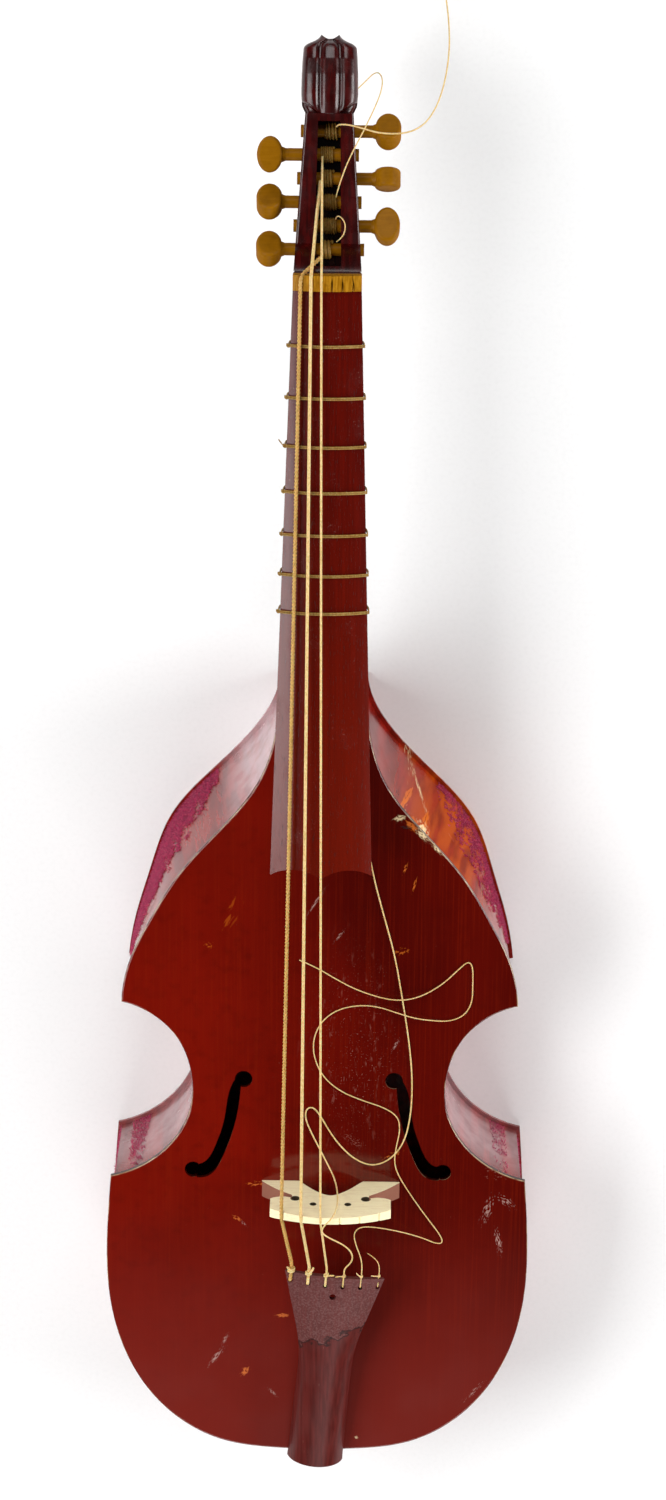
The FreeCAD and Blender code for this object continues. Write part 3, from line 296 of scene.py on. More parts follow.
# ---- shader graphs -------------------------------------------------------------------------------
class Node(Enum):
    """Shader nodes in use: type, the inputs to fill in order, the output to read and the settings."""

    ADD = ("ShaderNodeMath", (0, 1), 0, (("operation", "ADD"),))
    SUBTRACT = ("ShaderNodeMath", (0, 1), 0, (("operation", "SUBTRACT"),))
    MULTIPLY = ("ShaderNodeMath", (0, 1), 0, (("operation", "MULTIPLY"),))
    MAXIMUM = ("ShaderNodeMath", (0, 1), 0, (("operation", "MAXIMUM"),))
    LENGTH = ("ShaderNodeVectorMath", (0,), "Value", (("operation", "LENGTH"),))
    MIX = ("ShaderNodeMix", (0, 6, 7), 2, (("data_type", "RGBA"),))
    STEP = ("ShaderNodeMapRange", (0, 1, 2, 3, 4), 0, (("interpolation_type", "SMOOTHSTEP"),))
    POINT_MAPPING = ("ShaderNodeMapping", ("Vector", "Location", "Scale"), 0, ())
    LOCAL_MAPPING = ("ShaderNodeMapping", ("Vector", "Location", "Rotation", "Scale"), 0,
                     (("vector_type", "TEXTURE"),))
    NOISE = ("ShaderNodeTexNoise", ("Vector", "Scale", "Detail"), 0, ())
    AXES = ("ShaderNodeSeparateXYZ", (0,), 0, ())
    COORDINATES = ("ShaderNodeTexCoord", (), "Object", ())
    NORMAL = ("ShaderNodeNewGeometry", (), "Normal", ())
    HOLLOWS = ("ShaderNodeNewGeometry", (), "Pointiness", ())
    BUMP = ("ShaderNodeBump", ("Height", "Strength", "Distance"), 0, ())
    SURFACE = ("ShaderNodeBsdfPrincipled", (), "BSDF", ())
    OUTPUT = ("ShaderNodeOutputMaterial", ("Surface",), None, ())


class Graph:
    """Builds one material's node tree from small, named steps."""

    def __init__(self, name: str, layout: Layout) -> None:
        """Start an empty material.

        Args:
            name: The material's name.
            layout: Where marks are measured from.
        """
        self.layout = layout
        self.material = bpy.data.materials.new(name)
        self.material.use_nodes = True
        self.tree = self.material.node_tree
        self.tree.nodes.clear()
        surface = self.add(Node.SURFACE)
        self.shader = surface.node
        self.add(Node.OUTPUT, surface)
        self.coords = self.add(Node.COORDINATES)
        self.x, self.y, self.z = self.add(Node.AXES, self.coords).node.outputs

    def add(self, kind: Node, *values: object) -> Socket | None:
        """Add one node, link or set its inputs, and return the output that is read.

        Args:
            kind: Which node it is.
            *values: Outputs of other nodes, numbers or colours, in the order of the kind's inputs.

        Returns:
            The output socket, or None for the material's own output.
        """
        name, inputs, output, settings = kind.value
        node = self.tree.nodes.new(name)
        for key, value in settings:
            setattr(node, key, value)
        for key, value in zip(inputs, values):
            if isinstance(value, bpy.types.NodeSocket):
                self.tree.links.new(value, node.inputs[key])
            else:
                node.inputs[key].default_value = linear(value) if isinstance(value, Tone) else value
        return None if output is None else node.outputs[output]

    def grain(self, size: float, detail: float = 2.0, stretch: Sequence[float] = (1, 1, 1),
              shift: float = 0.0) -> Socket:
        """Return noise whose features are size millimetres across, times stretch along each axis.

        Args:
            size: The features' size in millimetres.
            detail: How many finer layers it has.
            stretch: How much longer the features are along X, Y and Z.
            shift: Moves the pattern, so that two noises of one size differ.

        Returns:
            The noise, from 0 to 1.
        """
        scale = tuple(1 / (size * MM * share) for share in stretch)
        moved = self.add(Node.POINT_MAPPING, self.coords, (shift, shift, shift), scale)
        return self.add(Node.NOISE, moved, 1.0, detail)

    def reach(self, centre: Sequence[float], size: Sequence[float], turn: float = 0.0,
              ) -> tuple[Socket, Socket]:
        """Return a place in the axes of an ellipsoid, and how far out it is, 1 being on the surface.

        Args:
            centre: The ellipsoid's centre in millimetres from the bridge.
            size: Its three half-sizes in millimetres.
            turn: How far it is turned about Z, in degrees.

        Returns:
            The place in the ellipsoid's axes, and its length.
        """
        middle = tuple(self.layout.place([centre])[0])
        halves = tuple(half * MM for half in size)
        local = self.add(Node.LOCAL_MAPPING, self.coords, middle, (0, 0, math.radians(turn)), halves)
        return local, self.add(Node.LENGTH, local)

    def mark(self, mark: Mark) -> Socket:
        """Return how strongly a mark shows: a soft ellipse broken up by streaks along it.

        Args:
            mark: The mark.

        Returns:
            Its share of the colour, from 0 to 1.
        """
        local, length = self.reach((mark.x, mark.y, 0), (mark.wide, mark.long, THROUGH), mark.turn)
        streaks = self.add(Node.NOISE, local, mark.grain, 5.0)
        inside = self.add(Node.STEP, length, 0.2, 1.0, 1.0, 0.0)
        level = self.add(Node.ADD, streaks, self.add(Node.MULTIPLY, inside, 0.16))
        threshold = 0.76 - 0.25 * mark.cover
        shown = self.add(Node.STEP, level, threshold, threshold + 0.06)
        return self.add(Node.MULTIPLY, self.add(Node.MULTIPLY, shown, inside), mark.strength)

    def marked(self, colour: Socket, marks: Sequence[Mark]) -> tuple[Socket, Socket]:
        """Lay marks over a colour.

        Args:
            colour: The colour below.
            marks: The marks, the last on top.

        Returns:
            The marked colour, and how much of it is marked.
        """
        worn = None
        for mark in marks:
            share = self.mark(mark)
            colour = self.add(Node.MIX, share, colour, mark.tone)
            worn = share if worn is None else self.add(Node.MAXIMUM, worn, share)
        return colour, worn

    def close(self, look: Look) -> bpy.types.Material:
        """Wire a finish's last values into the shader.

        Under a coat only the coat shines, so the surface below it has no gloss of its own.

        Args:
            look: The finish's values.

        Returns:
            The finished material.
        """
        plain = BARE_GLOSS if look.coat == 0.0 else 0.0
        settings = {
            "Base Color": look.colour,
            "Roughness": look.roughness,
            "Specular IOR Level": plain,
            "Coat Weight": look.coat,
            "Coat Roughness": look.coat_roughness,
            "Coat IOR": look.coat_ior,
            "Subsurface Weight": look.scatter,
            "Subsurface Scale": look.scatter_depth * MM,
            "Sheen Weight": look.sheen,
            "Sheen Roughness": SHEEN_ROUGHNESS,
        }
        settings["Normal"] = self.add(Node.BUMP, look.relief, 1.0, look.depth * MM)
        for key, value in settings.items():
            if isinstance(value, bpy.types.NodeSocket):
                self.tree.links.new(value, self.shader.inputs[key])
            else:
                self.shader.inputs[key].default_value = value
        return self.material


@dataclass(frozen=True)
class Look:
    """The values that a finish hands to the shader; depths are in millimetres."""

    colour: Socket
    roughness: float
    relief: Socket
    depth: float
    coat: Value = 0.0
    coat_roughness: Value = 0.05
    coat_ior: float = 1.5
    scatter: float = 0.0
    scatter_depth: float = 0.4
    sheen: float = 0.0


@dataclass(frozen=True)
class Finish:
    """A real material and the way that its surface was made."""

    layout: Layout

    def paint(self, graph: Graph) -> Look:
        """Return the finish's look, from the start of its graph."""
        raise NotImplementedError

    def make(self, name: str) -> bpy.types.Material:
        """Build the finish as a material with a name."""
        graph = Graph(name, self.layout)
        return graph.close(self.paint(graph))


# ---- finishes -----------------------------------------------------------------------------------
BELLY_MARKS = (
    Mark(-77, -143, 3.0, 17, -38, Tone.DUST, 4.0, 0.55, 0.7),
    Mark(-70, -128, 2.5, 10, -30, Tone.DUST, 4.0, 0.50, 0.6),
    Mark(-54.5, -155, 4.0, 8, -40, Tone.CHIP, 3.0, 0.70, 0.9),
    Mark(-26, -107, 8.0, 3, 4, Tone.CHIP, 3.0, 0.75, 0.9),
    Mark(-33, -173, 2.2, 9, 40, Tone.DUST, 4.0, 0.50, 0.6),
    Mark(-61, -26, 3.0, 9, 52, Tone.CHIP, 3.0, 0.50, 0.7),
    Mark(-56, -30, 2.0, 7, 40, Tone.DUST, 4.0, 0.40, 0.5),
    Mark(129, -16, 6.0, 20, -18, Tone.DUST, 5.0, 0.45, 0.6),
    Mark(138, -42, 4.0, 18, 10, Tone.DUST, 5.0, 0.50, 0.7),
    Mark(143, -9, 6.0, 14, 48, Tone.DUST, 5.0, 0.40, 0.6),
    Mark(134, 16, 20.0, 16, 0, Tone.ROSIN, 9.0, 0.15, 0.5),
    Mark(122, -170, 3.0, 22, -42, Tone.DUST, 5.0, 0.35, 0.5),
    Mark(-83, 196, 6.0, 7, 0, Tone.CHIP, 4.0, 0.35, 0.35),
    Mark(-66, 222, 9.0, 40, -28, Tone.CHIP, 2.5, 0.25, 0.25),
    Mark(-4, 231, 1.6, 22, -32, Tone.DUST, 4.0, 0.55, 0.75),
    Mark(14, 205, 2.0, 12, -40, Tone.DUST, 4.0, 0.45, 0.6),
    Mark(62, 259, 2.0, 9, -22, Tone.CHIP, 3.0, 0.50, 0.8),
    Mark(69, 246, 1.6, 12, -16, Tone.CHIP, 3.0, 0.55, 0.8),
    Mark(60, 193, 11.0, 7, 20, Tone.CHIP, 3.0, 0.35, 0.5),
    Mark(57, 118, 2.0, 11, -30, Tone.DUST, 4.0, 0.50, 0.6),
    Mark(-48, 3, 12.0, 5, 8, Tone.CHIP, 3.0, 0.40, 0.7),
    Mark(56, 28, 14.0, 6, 30, Tone.CHIP, 4.0, 0.35, 0.6),
    Mark(26, 40, 20.0, 7, -34, Tone.ROSIN, 9.0, 0.30, 0.5),
    Mark(32, -211, 2.0, 2, 0, Tone.BARE, 2.0, 0.80, 0.7),
)
EDGE_CHIPS = (
    Mark(57, 298, 7.0, 4, 20, Tone.BARE, 2.5, 0.75, 0.95),
    Mark(66, 292, 3.6, 10, 44, Tone.CHIP, 3.0, 0.85, 0.95),
    Mark(74, 285, 3.4, 10, 42, Tone.BARE, 4.0, 0.75, 0.95),
    Mark(85, 274, 2.2, 10, 40, Tone.BARE, 4.0, 0.60, 0.90),
    Mark(62, 291, 8.0, 3, 0, Tone.GRIME, 3.0, 0.60, 0.9),
)
NUT_SLOTS = tuple(Mark(x, 701.5, 0.75, 7.5, turn, Tone.GRIME, 1.0, 2.2, 0.85)
                  for x, turn in ((3.4, 2), (10.8, 5), (18.2, 9), (-4.2, 0), (-11.6, -3), (-19.0, -6)))
RIB_MARKS = (
    Mark(64, 318, 5.0, 22, 12, Tone.BARE, 5.0, 0.35, 0.6),
    Mark(76, 325, 3.6, 9, 20, Tone.CHIP, 2.5, 0.80, 1.0),
    Mark(68, 330, 7.0, 14, 10, Tone.DUST, 6.0, 0.45, 0.7),
    Mark(62, 303, 9.0, 3.5, -4, Tone.CHIP, 3.0, 0.80, 1.0),
    Mark(72, 300, 1.2, 24, 26, Tone.BARE, 5.0, 0.50, 0.8),
    Mark(76, 286, 6.0, 5, 30, Tone.CHIP, 3.0, 0.70, 1.0),
    Mark(-84, 300, 1.5, 16, -48, Tone.DUST, 4.0, 0.35, 0.5),
    Mark(139, 18, 1.4, 16, 20, Tone.DUST, 4.0, 0.40, 0.5),
)


@dataclass(frozen=True)
class BellyVarnish(Finish):
    """Dark red-brown spirit varnish on quarter-sawn spruce: faint reeds of grain under a clear gloss."""

    def paint(self, graph: Graph) -> Look:
        """Return the finish's look.

        Args:
            graph: The material being built.

        Returns:
            What the shader is given.
        """
        add = graph.add
        # painted light: the bass side is coloured lighter and the treble side darker, as the light falls on it
        side = add(Node.STEP, graph.x, -0.07, 0.06, 0.9, 0.1)
        patches = add(Node.STEP, graph.grain(130, 3.0, (1, 1.5, 1)), 0.35, 0.65, -0.2, 0.2)
        colour = add(Node.MIX, add(Node.ADD, side, patches), Tone.BELLY_DEEP, Tone.BELLY)
        reeds = graph.grain(1.3, 3.0, (1, 70, 1))
        colour = add(Node.MIX, add(Node.STEP, reeds, 0.45, 0.75, 0.0, 0.28), colour, Tone.BELLY_WARM)
        cloud = graph.grain(9, 5.0)
        colour = add(Node.MIX, add(Node.STEP, cloud, 0.45, 0.8, 0.0, 0.3), colour, Tone.BELLY_DEEP)
        # towards the tail the coat is rougher, and a painted sheen makes the colour paler and milky
        tail = add(Node.STEP, graph.y, self.layout.bridge_line - 0.20, self.layout.bridge_line + 0.02, 1.0,
                   0.0)
        colour = add(Node.MIX, add(Node.MULTIPLY, tail, 0.75), colour, Tone.BELLY_HAZE)
        # rosin dust lies under the strings between fingerboard and bridge
        dusty = graph.mark(Mark(26, 110, 52, 125, 0, Tone.DUST, 1.6, 1.3, 1.0))
        specks = add(Node.STEP, graph.grain(1.1, 2.0), 0.66, 0.74)
        strokes = add(Node.STEP, graph.grain(2.6, 5.0, (1, 4, 1), 3.0), 0.60, 0.72)
        rosin = add(Node.MULTIPLY, dusty, add(Node.MAXIMUM, specks, add(Node.MULTIPLY, strokes, 0.5)))
        colour = add(Node.MIX, add(Node.MULTIPLY, rosin, 0.6), colour, Tone.ROSIN)
        stray = add(Node.STEP, graph.grain(1.4, 1.0, (1, 1, 1), 8.0), 0.80, 0.83, 0.0, 0.5)
        colour = add(Node.MIX, stray, colour, Tone.ROSIN)
        # from just under the face downwards the belly is darkened nearly to black, and a painted highlight, broken up
        # by noise, runs pale along the rounded edge's lip
        face = self.layout.belly_face
        edge = add(Node.STEP, graph.z, face - 1.1 * MM, face - 0.05 * MM, 1.0, 0.0)
        rubbed = add(Node.STEP, graph.grain(14, 3.0), 0.40, 0.62)
        colour = add(Node.MIX, add(Node.MULTIPLY, edge, 0.85), colour, Tone.GRIME)
        # the pale band on the lip is a painted highlight
        upper_lip = add(Node.STEP, graph.z, face - 0.5 * MM, face - 0.02 * MM, 1.0, 0.0)
        lower_lip = add(Node.STEP, graph.z, face - 1.2 * MM, face - 0.6 * MM)
        edge_highlight = add(Node.MULTIPLY, upper_lip, lower_lip)
        colour = add(Node.MIX, add(Node.MULTIPLY, add(Node.MULTIPLY, edge_highlight, rubbed), 0.55), colour, Tone.BARE)
        colour, worn = graph.marked(colour, BELLY_MARKS + EDGE_CHIPS)
        rough = add(Node.ADD, add(Node.STEP, graph.grain(40, 3.0), 0.3, 0.7, 0.08, 0.14),
                            add(Node.MULTIPLY, tail, 0.10))
        rough = add(Node.ADD, rough, add(Node.MULTIPLY, add(Node.MAXIMUM, worn, rosin), 0.4))
        return Look(colour, 0.45, reeds, 0.02, coat=0.9, coat_roughness=rough)


@dataclass(frozen=True)
class RibVarnish(Finish):
    """Red varnish on flamed maple, thin and amber where light gets through at the treble shoulder."""

    def paint(self, graph: Graph) -> Look:
        """Return the finish's look.

        Args:
            graph: The material being built.

        Returns:
            What the shader is given.
        """
        add = graph.add
        flames = graph.grain(7, 3.0, (1, 1, 14))
        colour = add(Node.MIX, add(Node.STEP, flames, 0.35, 0.65), Tone.RIB_DEEP, Tone.RIB)
        pores = graph.grain(1.2, 3.0, (8, 8, 0.8))
        colour = add(Node.MIX, add(Node.STEP, pores, 0.5, 0.8, 0.0, 0.4), colour, Tone.RIB_DEEP)
        shoulder = graph.mark(Mark(100, 272, 62, 84, 36, Tone.RIB_AMBER, 1.1, 1.4, 1.0))
        thin = add(Node.STEP, graph.grain(10, 4.0, (1, 1, 9), 2.0), 0.34, 0.62, 0.25, 1.0)
        colour = add(Node.MIX, add(Node.MULTIPLY, shoulder, thin), colour, Tone.RIB_AMBER)
        # the bass shoulder and the waists get a painted glare: a pale lilac standing in for the white floor's
        # reflection at grazing angles
        _, neck_end = graph.reach((-42, 330, 0), (52, 62, THROUGH))
        _, waist = graph.reach((0, 70, -62), (THROUGH, 105, 70))
        bloom = add(Node.MAXIMUM, add(Node.STEP, neck_end, 0.2, 1.0, 0.62, 0.0),
                    add(Node.STEP, waist, 0.4, 1.0, 0.42, 0.0))
        cloudy = add(Node.STEP, graph.grain(16, 4.0), 0.25, 0.65, 0.55, 1.0)
        colour = add(Node.MIX, add(Node.MULTIPLY, bloom, cloudy), colour, Tone.BLOOM)
        colour, worn = graph.marked(colour, RIB_MARKS + EDGE_CHIPS[:3])
        rough = add(Node.STEP, graph.grain(26, 4.0), 0.3, 0.75, 0.10, 0.30)
        rough = add(Node.ADD, rough, add(Node.MULTIPLY, worn, 0.4))
        waves = add(Node.ADD, graph.grain(30, 2.0), add(Node.MULTIPLY, pores, 0.06))
        polish = add(Node.SUBTRACT, 1.0, add(Node.MULTIPLY, shoulder, 0.85))
        return Look(colour, 0.4, waves, 0.25, coat=polish, coat_roughness=rough, coat_ior=1.7)


@dataclass(frozen=True)
class HeadVarnish(Finish):
    """Thick dark varnish over carved maple, deepest in the hollows."""

    def paint(self, graph: Graph) -> Look:
        """Return the finish's look.

        Args:
            graph: The material being built.

        Returns:
            What the shader is given.
        """
        add = graph.add
        streaks = graph.grain(3.5, 4.0, (1, 12, 1))
        colour = add(Node.MIX, add(Node.STEP, streaks, 0.35, 0.7), Tone.HEAD_DEEP, Tone.HEAD)
        cavity = add(Node.HOLLOWS)
        colour = add(Node.MIX, add(Node.STEP, cavity, 0.40, 0.49, 0.8, 0.0), colour, Tone.GRIME)
        rough = add(Node.STEP, graph.grain(12, 3.0), 0.3, 0.75, 0.2, 0.32)
        hand = add(Node.ADD, graph.grain(14, 1.0), add(Node.MULTIPLY, streaks, 0.05))
        return Look(colour, 0.4, hand, 0.10, coat=0.9, coat_roughness=rough)


@dataclass(frozen=True)
class BoardVarnish(Finish):
    """Stained and polished hardwood: open pores along the grain, rubbed dull under the strings."""

    def paint(self, graph: Graph) -> Look:
        """Return the finish's look.

        Args:
            graph: The material being built.

        Returns:
            What the shader is given.
        """
        add = graph.add
        grain = graph.grain(1.6, 4.0, (1, 45, 1))
        colour = add(Node.MIX, add(Node.STEP, grain, 0.3, 0.75, 0.3, 0.8), Tone.BOARD_DEEP, Tone.BOARD)
        # the colour is redder and lighter towards the free end
        light = add(Node.STEP, graph.y, self.layout.bridge_line + 0.27, self.layout.bridge_line + 0.60, 1.0,
                    0.0)
        colour = add(Node.MIX, add(Node.MULTIPLY, light, 0.35), colour, Tone.BELLY_WARM)
        pores = add(Node.STEP, graph.grain(0.7, 2.0, (1, 9, 1)), 0.60, 0.72)
        colour = add(Node.MIX, add(Node.MULTIPLY, pores, 0.5), colour, Tone.GRIME)
        worn = add(Node.STEP, graph.grain(18, 4.0, (1, 2, 1)), 0.5, 0.75)
        dust = add(Node.MULTIPLY, add(Node.STEP, graph.grain(1.2, 2.0, (1, 1, 1), 5.0), 0.66, 0.73), worn)
        colour = add(Node.MIX, add(Node.MULTIPLY, dust, 0.5), colour, Tone.DUST)
        rough = add(Node.ADD, add(Node.STEP, worn, 0, 1, 0.22, 0.30), add(Node.MULTIPLY, pores, 0.15))
        relief = add(Node.SUBTRACT, add(Node.MULTIPLY, grain, 0.4), add(Node.MULTIPLY, pores, 0.8))
        return Look(colour, 0.42, relief, 0.05, coat=0.8, coat_roughness=rough)


@dataclass(frozen=True)
class TailVarnish(Finish):
    """Semi-gloss stain, worn to a grey-lilac bloom where strings and knots have rubbed it."""

    def paint(self, graph: Graph) -> Look:
        """Return the finish's look.

        Args:
            graph: The material being built.

        Returns:
            What the shader is given.
        """
        add = graph.add
        grain = graph.grain(2.2, 4.0, (1, 30, 1))
        colour = add(Node.MIX, add(Node.STEP, grain, 0.3, 0.7), Tone.TAIL_DEEP, Tone.TAIL)
        ragged = add(Node.MULTIPLY, add(Node.SUBTRACT, graph.grain(9, 5.0), 0.5), 0.030)
        slant = add(Node.MULTIPLY, graph.x, -0.32)
        line = add(Node.ADD, add(Node.ADD, graph.y, ragged), slant)
        border = self.layout.bridge_line - 0.116
        upper = add(Node.STEP, line, border - 0.0010, border + 0.0012)
        mottled = add(Node.STEP, graph.grain(1.4, 4.0), 0.42, 0.66, 0.25, 0.85)
        colour = add(Node.MIX, add(Node.MULTIPLY, upper, mottled), colour, Tone.TAIL_WORN)
        seam = add(Node.MULTIPLY, add(Node.STEP, line, border - 0.0022, border - 0.0004),
                           add(Node.STEP, line, border, border + 0.0016, 1.0, 0.0))
        colour = add(Node.MIX, add(Node.MULTIPLY, seam, 0.8), colour, Tone.GRIME)
        scratches = add(Node.STEP, graph.grain(1.0, 4.0, (1, 9, 1), 4.0), 0.70, 0.78, 0.0, 0.5)
        colour = add(Node.MIX, add(Node.MULTIPLY, scratches, 0.35), colour, Tone.DUST)
        rough = add(Node.ADD, add(Node.STEP, graph.grain(20, 3.0), 0.3, 0.7, 0.30, 0.42),
                            add(Node.MULTIPLY, upper, 0.18))
        relief = add(Node.ADD, add(Node.MULTIPLY, grain, 0.3),
                             add(Node.MULTIPLY, add(Node.MULTIPLY, upper, mottled), 0.5))
        return Look(colour, 0.5, relief, 0.10, coat=0.5, coat_roughness=rough)


@dataclass(frozen=True)
class Boxwood(Finish):
    """Hand-turned boxwood: fine close grain along the peg, darker in the turned corners."""

    def paint(self, graph: Graph) -> Look:
        """Return the finish's look.

        Args:
            graph: The material being built.

        Returns:
            What the shader is given.
        """
        add = graph.add
        grain = graph.grain(1.5, 4.0, (9, 1, 1))
        colour = add(Node.MIX, add(Node.STEP, grain, 0.3, 0.72, 0.0, 0.35), Tone.BOXWOOD, Tone.BOXWOOD_PALE)
        fleck = add(Node.STEP, graph.grain(0.6, 2.0, (5, 1, 1), 2.0), 0.62, 0.72, 0.0, 0.25)
        colour = add(Node.MIX, fleck, colour, Tone.BOXWOOD_DARK)
        hands = add(Node.STEP, graph.grain(11, 3.0), 0.45, 0.72, 0.0, 0.35)
        colour = add(Node.MIX, hands, colour, Tone.BOXWOOD_DARK)
        cavity = add(Node.HOLLOWS)
        colour = add(Node.MIX, add(Node.STEP, cavity, 0.42, 0.49, 0.7, 0.0), colour, Tone.BOXWOOD_DARK)
        return Look(colour, 0.46, grain, 0.05, coat=0.12, coat_roughness=0.35)


@dataclass(frozen=True)
class NutBoxwood(Finish):
    """Filed boxwood with dark dirt in its slots."""

    def paint(self, graph: Graph) -> Look:
        """Return the finish's look.

        Args:
            graph: The material being built.

        Returns:
            What the shader is given.
        """
        add = graph.add
        grain = graph.grain(1.2, 4.0, (1, 9, 1))
        colour = add(Node.MIX, add(Node.STEP, grain, 0.3, 0.7), Tone.BOXWOOD, Tone.NUT)
        colour = add(Node.MIX, add(Node.STEP, graph.grain(4, 4.0), 0.5, 0.8, 0.0, 0.5), colour,
                     Tone.BOXWOOD_DARK)
        cavity = add(Node.HOLLOWS)
        colour = add(Node.MIX, add(Node.STEP, cavity, 0.40, 0.49, 0.9, 0.0), colour, Tone.HEAD_DEEP)
        colour, _ = graph.marked(colour, NUT_SLOTS)
        return Look(colour, 0.42, grain, 0.05, coat=0.2, coat_roughness=0.3)


BRIDGE_EYES = ((-16.6, 28.0, 3.4), (36.4, 28.0, 3.4), (-3.1, 36.5, 2.4), (22.9, 36.5, 2.4))


@dataclass(frozen=True)
class BridgeMaple(Finish):
    """Unvarnished maple with short medullary flecks and grey rosin marks round the strings."""

    def paint(self, graph: Graph) -> Look:
        """Return the finish's look.

        Args:
            graph: The material being built.

        Returns:
            What the shader is given.
        """
        add = graph.add
        grain = graph.grain(1.1, 3.0, (14, 1, 1.4))
        colour = add(Node.MIX, add(Node.STEP, grain, 0.42, 0.75, 0.0, 0.2), Tone.MAPLE, Tone.MAPLE_DARK)
        fleck = add(Node.STEP, graph.grain(0.8, 2.0, (5, 1, 0.8), 3.0), 0.66, 0.74, 0.0, 0.35)
        colour = add(Node.MIX, fleck, colour, Tone.MAPLE_DARK)
        dirty = add(Node.STEP, graph.grain(6, 5.0), 0.55, 0.8, 0.0, 0.22)
        colour = add(Node.MIX, dirty, colour, Tone.DUST)
        # the feet's upper faces lie in the crown's shadow and get a painted shadow in dark rose, and the eyes are
        # painted black as their shade
        normal = add(Node.NORMAL)
        upward = add(Node.STEP, add(Node.AXES, normal).node.outputs[2], 0.25, 0.5)
        low = add(Node.STEP, graph.z, self.layout.belly_face + 22 * MM, self.layout.belly_face + 26 * MM,
                  1.0, 0.0)
        colour = add(Node.MIX, add(Node.MULTIPLY, add(Node.MULTIPLY, upward, low), 0.92), colour, Tone.WING)
        # painted shade: the bridge's eyes are coloured nearly black
        for x, z, radius in BRIDGE_EYES:
            _, far = graph.reach((x, 0, z), (radius, THROUGH, radius))
            colour = add(Node.MIX, add(Node.STEP, far, 1.0, 1.15, 0.95, 0.0), colour, Tone.GRIME)
        return Look(colour, 0.55, grain, 0.05, coat=0.1, coat_roughness=0.4)


@dataclass(frozen=True)
class Gut(Finish):
    """Twisted, rubbed gut: slightly translucent, with darker fibres running round it."""

    main: Tone
    second: Tone
    roughness: float = 0.38

    def paint(self, graph: Graph) -> Look:
        """Return the finish's look.

        Args:
            graph: The material being built.

        Returns:
            What the shader is given.
        """
        add = graph.add
        fibres = graph.grain(0.9, 3.0, (1, 2.2, 1))
        colour = add(Node.MIX, add(Node.STEP, fibres, 0.40, 0.72, 0.0, 0.7), self.main, self.second)
        stained = add(Node.STEP, graph.grain(22, 3.0), 0.5, 0.75, 0.0, 0.4)
        colour = add(Node.MIX, stained, colour, self.second)
        return Look(colour, self.roughness, fibres, 0.05, coat=0.25, coat_roughness=0.25, scatter=0.25)


@dataclass(frozen=True)
class Flock(Finish):
    """Magenta rayon flock torn off a case lining, with darker roots."""

    def paint(self, graph: Graph) -> Look:
        """Return the finish's look.

        Args:
            graph: The material being built.

        Returns:
            What the shader is given.
        """
        add = graph.add
        tufts = graph.grain(2.4, 4.0)
        colour = add(Node.MIX, add(Node.STEP, tufts, 0.32, 0.68), Tone.FLOCK_DARK, Tone.FLOCK)
        pale = add(Node.STEP, graph.grain(0.8, 2.0, (1, 1, 1), 3.0), 0.58, 0.74, 0.0, 0.4)
        colour = add(Node.MIX, pale, colour, Tone.FLOCK_PALE)
        return Look(colour, 0.9, tufts, 0.1, sheen=0.6)


@dataclass(frozen=True)
class BareSpruce(Finish):
    """Planed spruce with brown late-wood lines, never varnished."""

    def paint(self, graph: Graph) -> Look:
        """Return the finish's look.

        Args:
            graph: The material being built.

        Returns:
            What the shader is given.
        """
        add = graph.add
        reeds = graph.grain(1.4, 3.0, (1, 60, 60))
        colour = add(Node.MIX, add(Node.STEP, reeds, 0.42, 0.66), Tone.SPRUCE, Tone.BOXWOOD_DARK)
        old = add(Node.STEP, graph.grain(30, 3.0), 0.35, 0.75, 0.0, 0.5)
        colour = add(Node.MIX, old, colour, Tone.WOUND)
        return Look(colour, 0.7, reeds, 0.08)


@dataclass(frozen=True)
class PaperSweep(Finish):
    """Matt white studio paper with barely visible fibres."""

    def paint(self, graph: Graph) -> Look:
        """Return the finish's look.

        Args:
            graph: The material being built.

        Returns:
            What the shader is given.
        """
        add = graph.add
        fibres = graph.grain(3, 3.0)
        colour = add(Node.MIX, add(Node.STEP, fibres, 0.4, 0.8, 0.0, 0.5), Tone.FLOOR, Tone.FLOOR_DIM)
        return Look(colour, 0.85, fibres, 0.05)


# ---- mesh building -------------------------------------------------------------------------------
Shape = tuple[np.ndarray, np.ndarray]


def mesh_object(name: str, shape: Shape, material: bpy.types.Material, smooth: bool) -> bpy.types.Object:
    """Make an object from an array of points and an array of faces that all have as many corners.

    Args:
        name: The object's name.
        shape: One row of metres per point, and one row of point numbers per face.
        material: Its only material.
        smooth: Whether its faces are shaded smooth.

    Returns:
        The object, in the scene.
    """
    points, faces = shape
    mesh = bpy.data.meshes.new(name)
    mesh.vertices.add(len(points))
    mesh.vertices.foreach_set("co", points.astype(np.float32).ravel())
    mesh.loops.add(faces.size)
    mesh.loops.foreach_set("vertex_index", faces.astype(np.int32).ravel())
    mesh.polygons.add(len(faces))
    mesh.polygons.foreach_set("loop_start", np.arange(0, faces.size, faces.shape[1], dtype=np.int32))
    mesh.polygons.foreach_set("use_smooth", np.full(len(faces), smooth))
    mesh.update(calc_edges=True)
    mesh.validate()
    mesh.materials.append(material)
    thing = bpy.data.objects.new(name, mesh)
    bpy.context.scene.collection.objects.link(thing)
    return thing


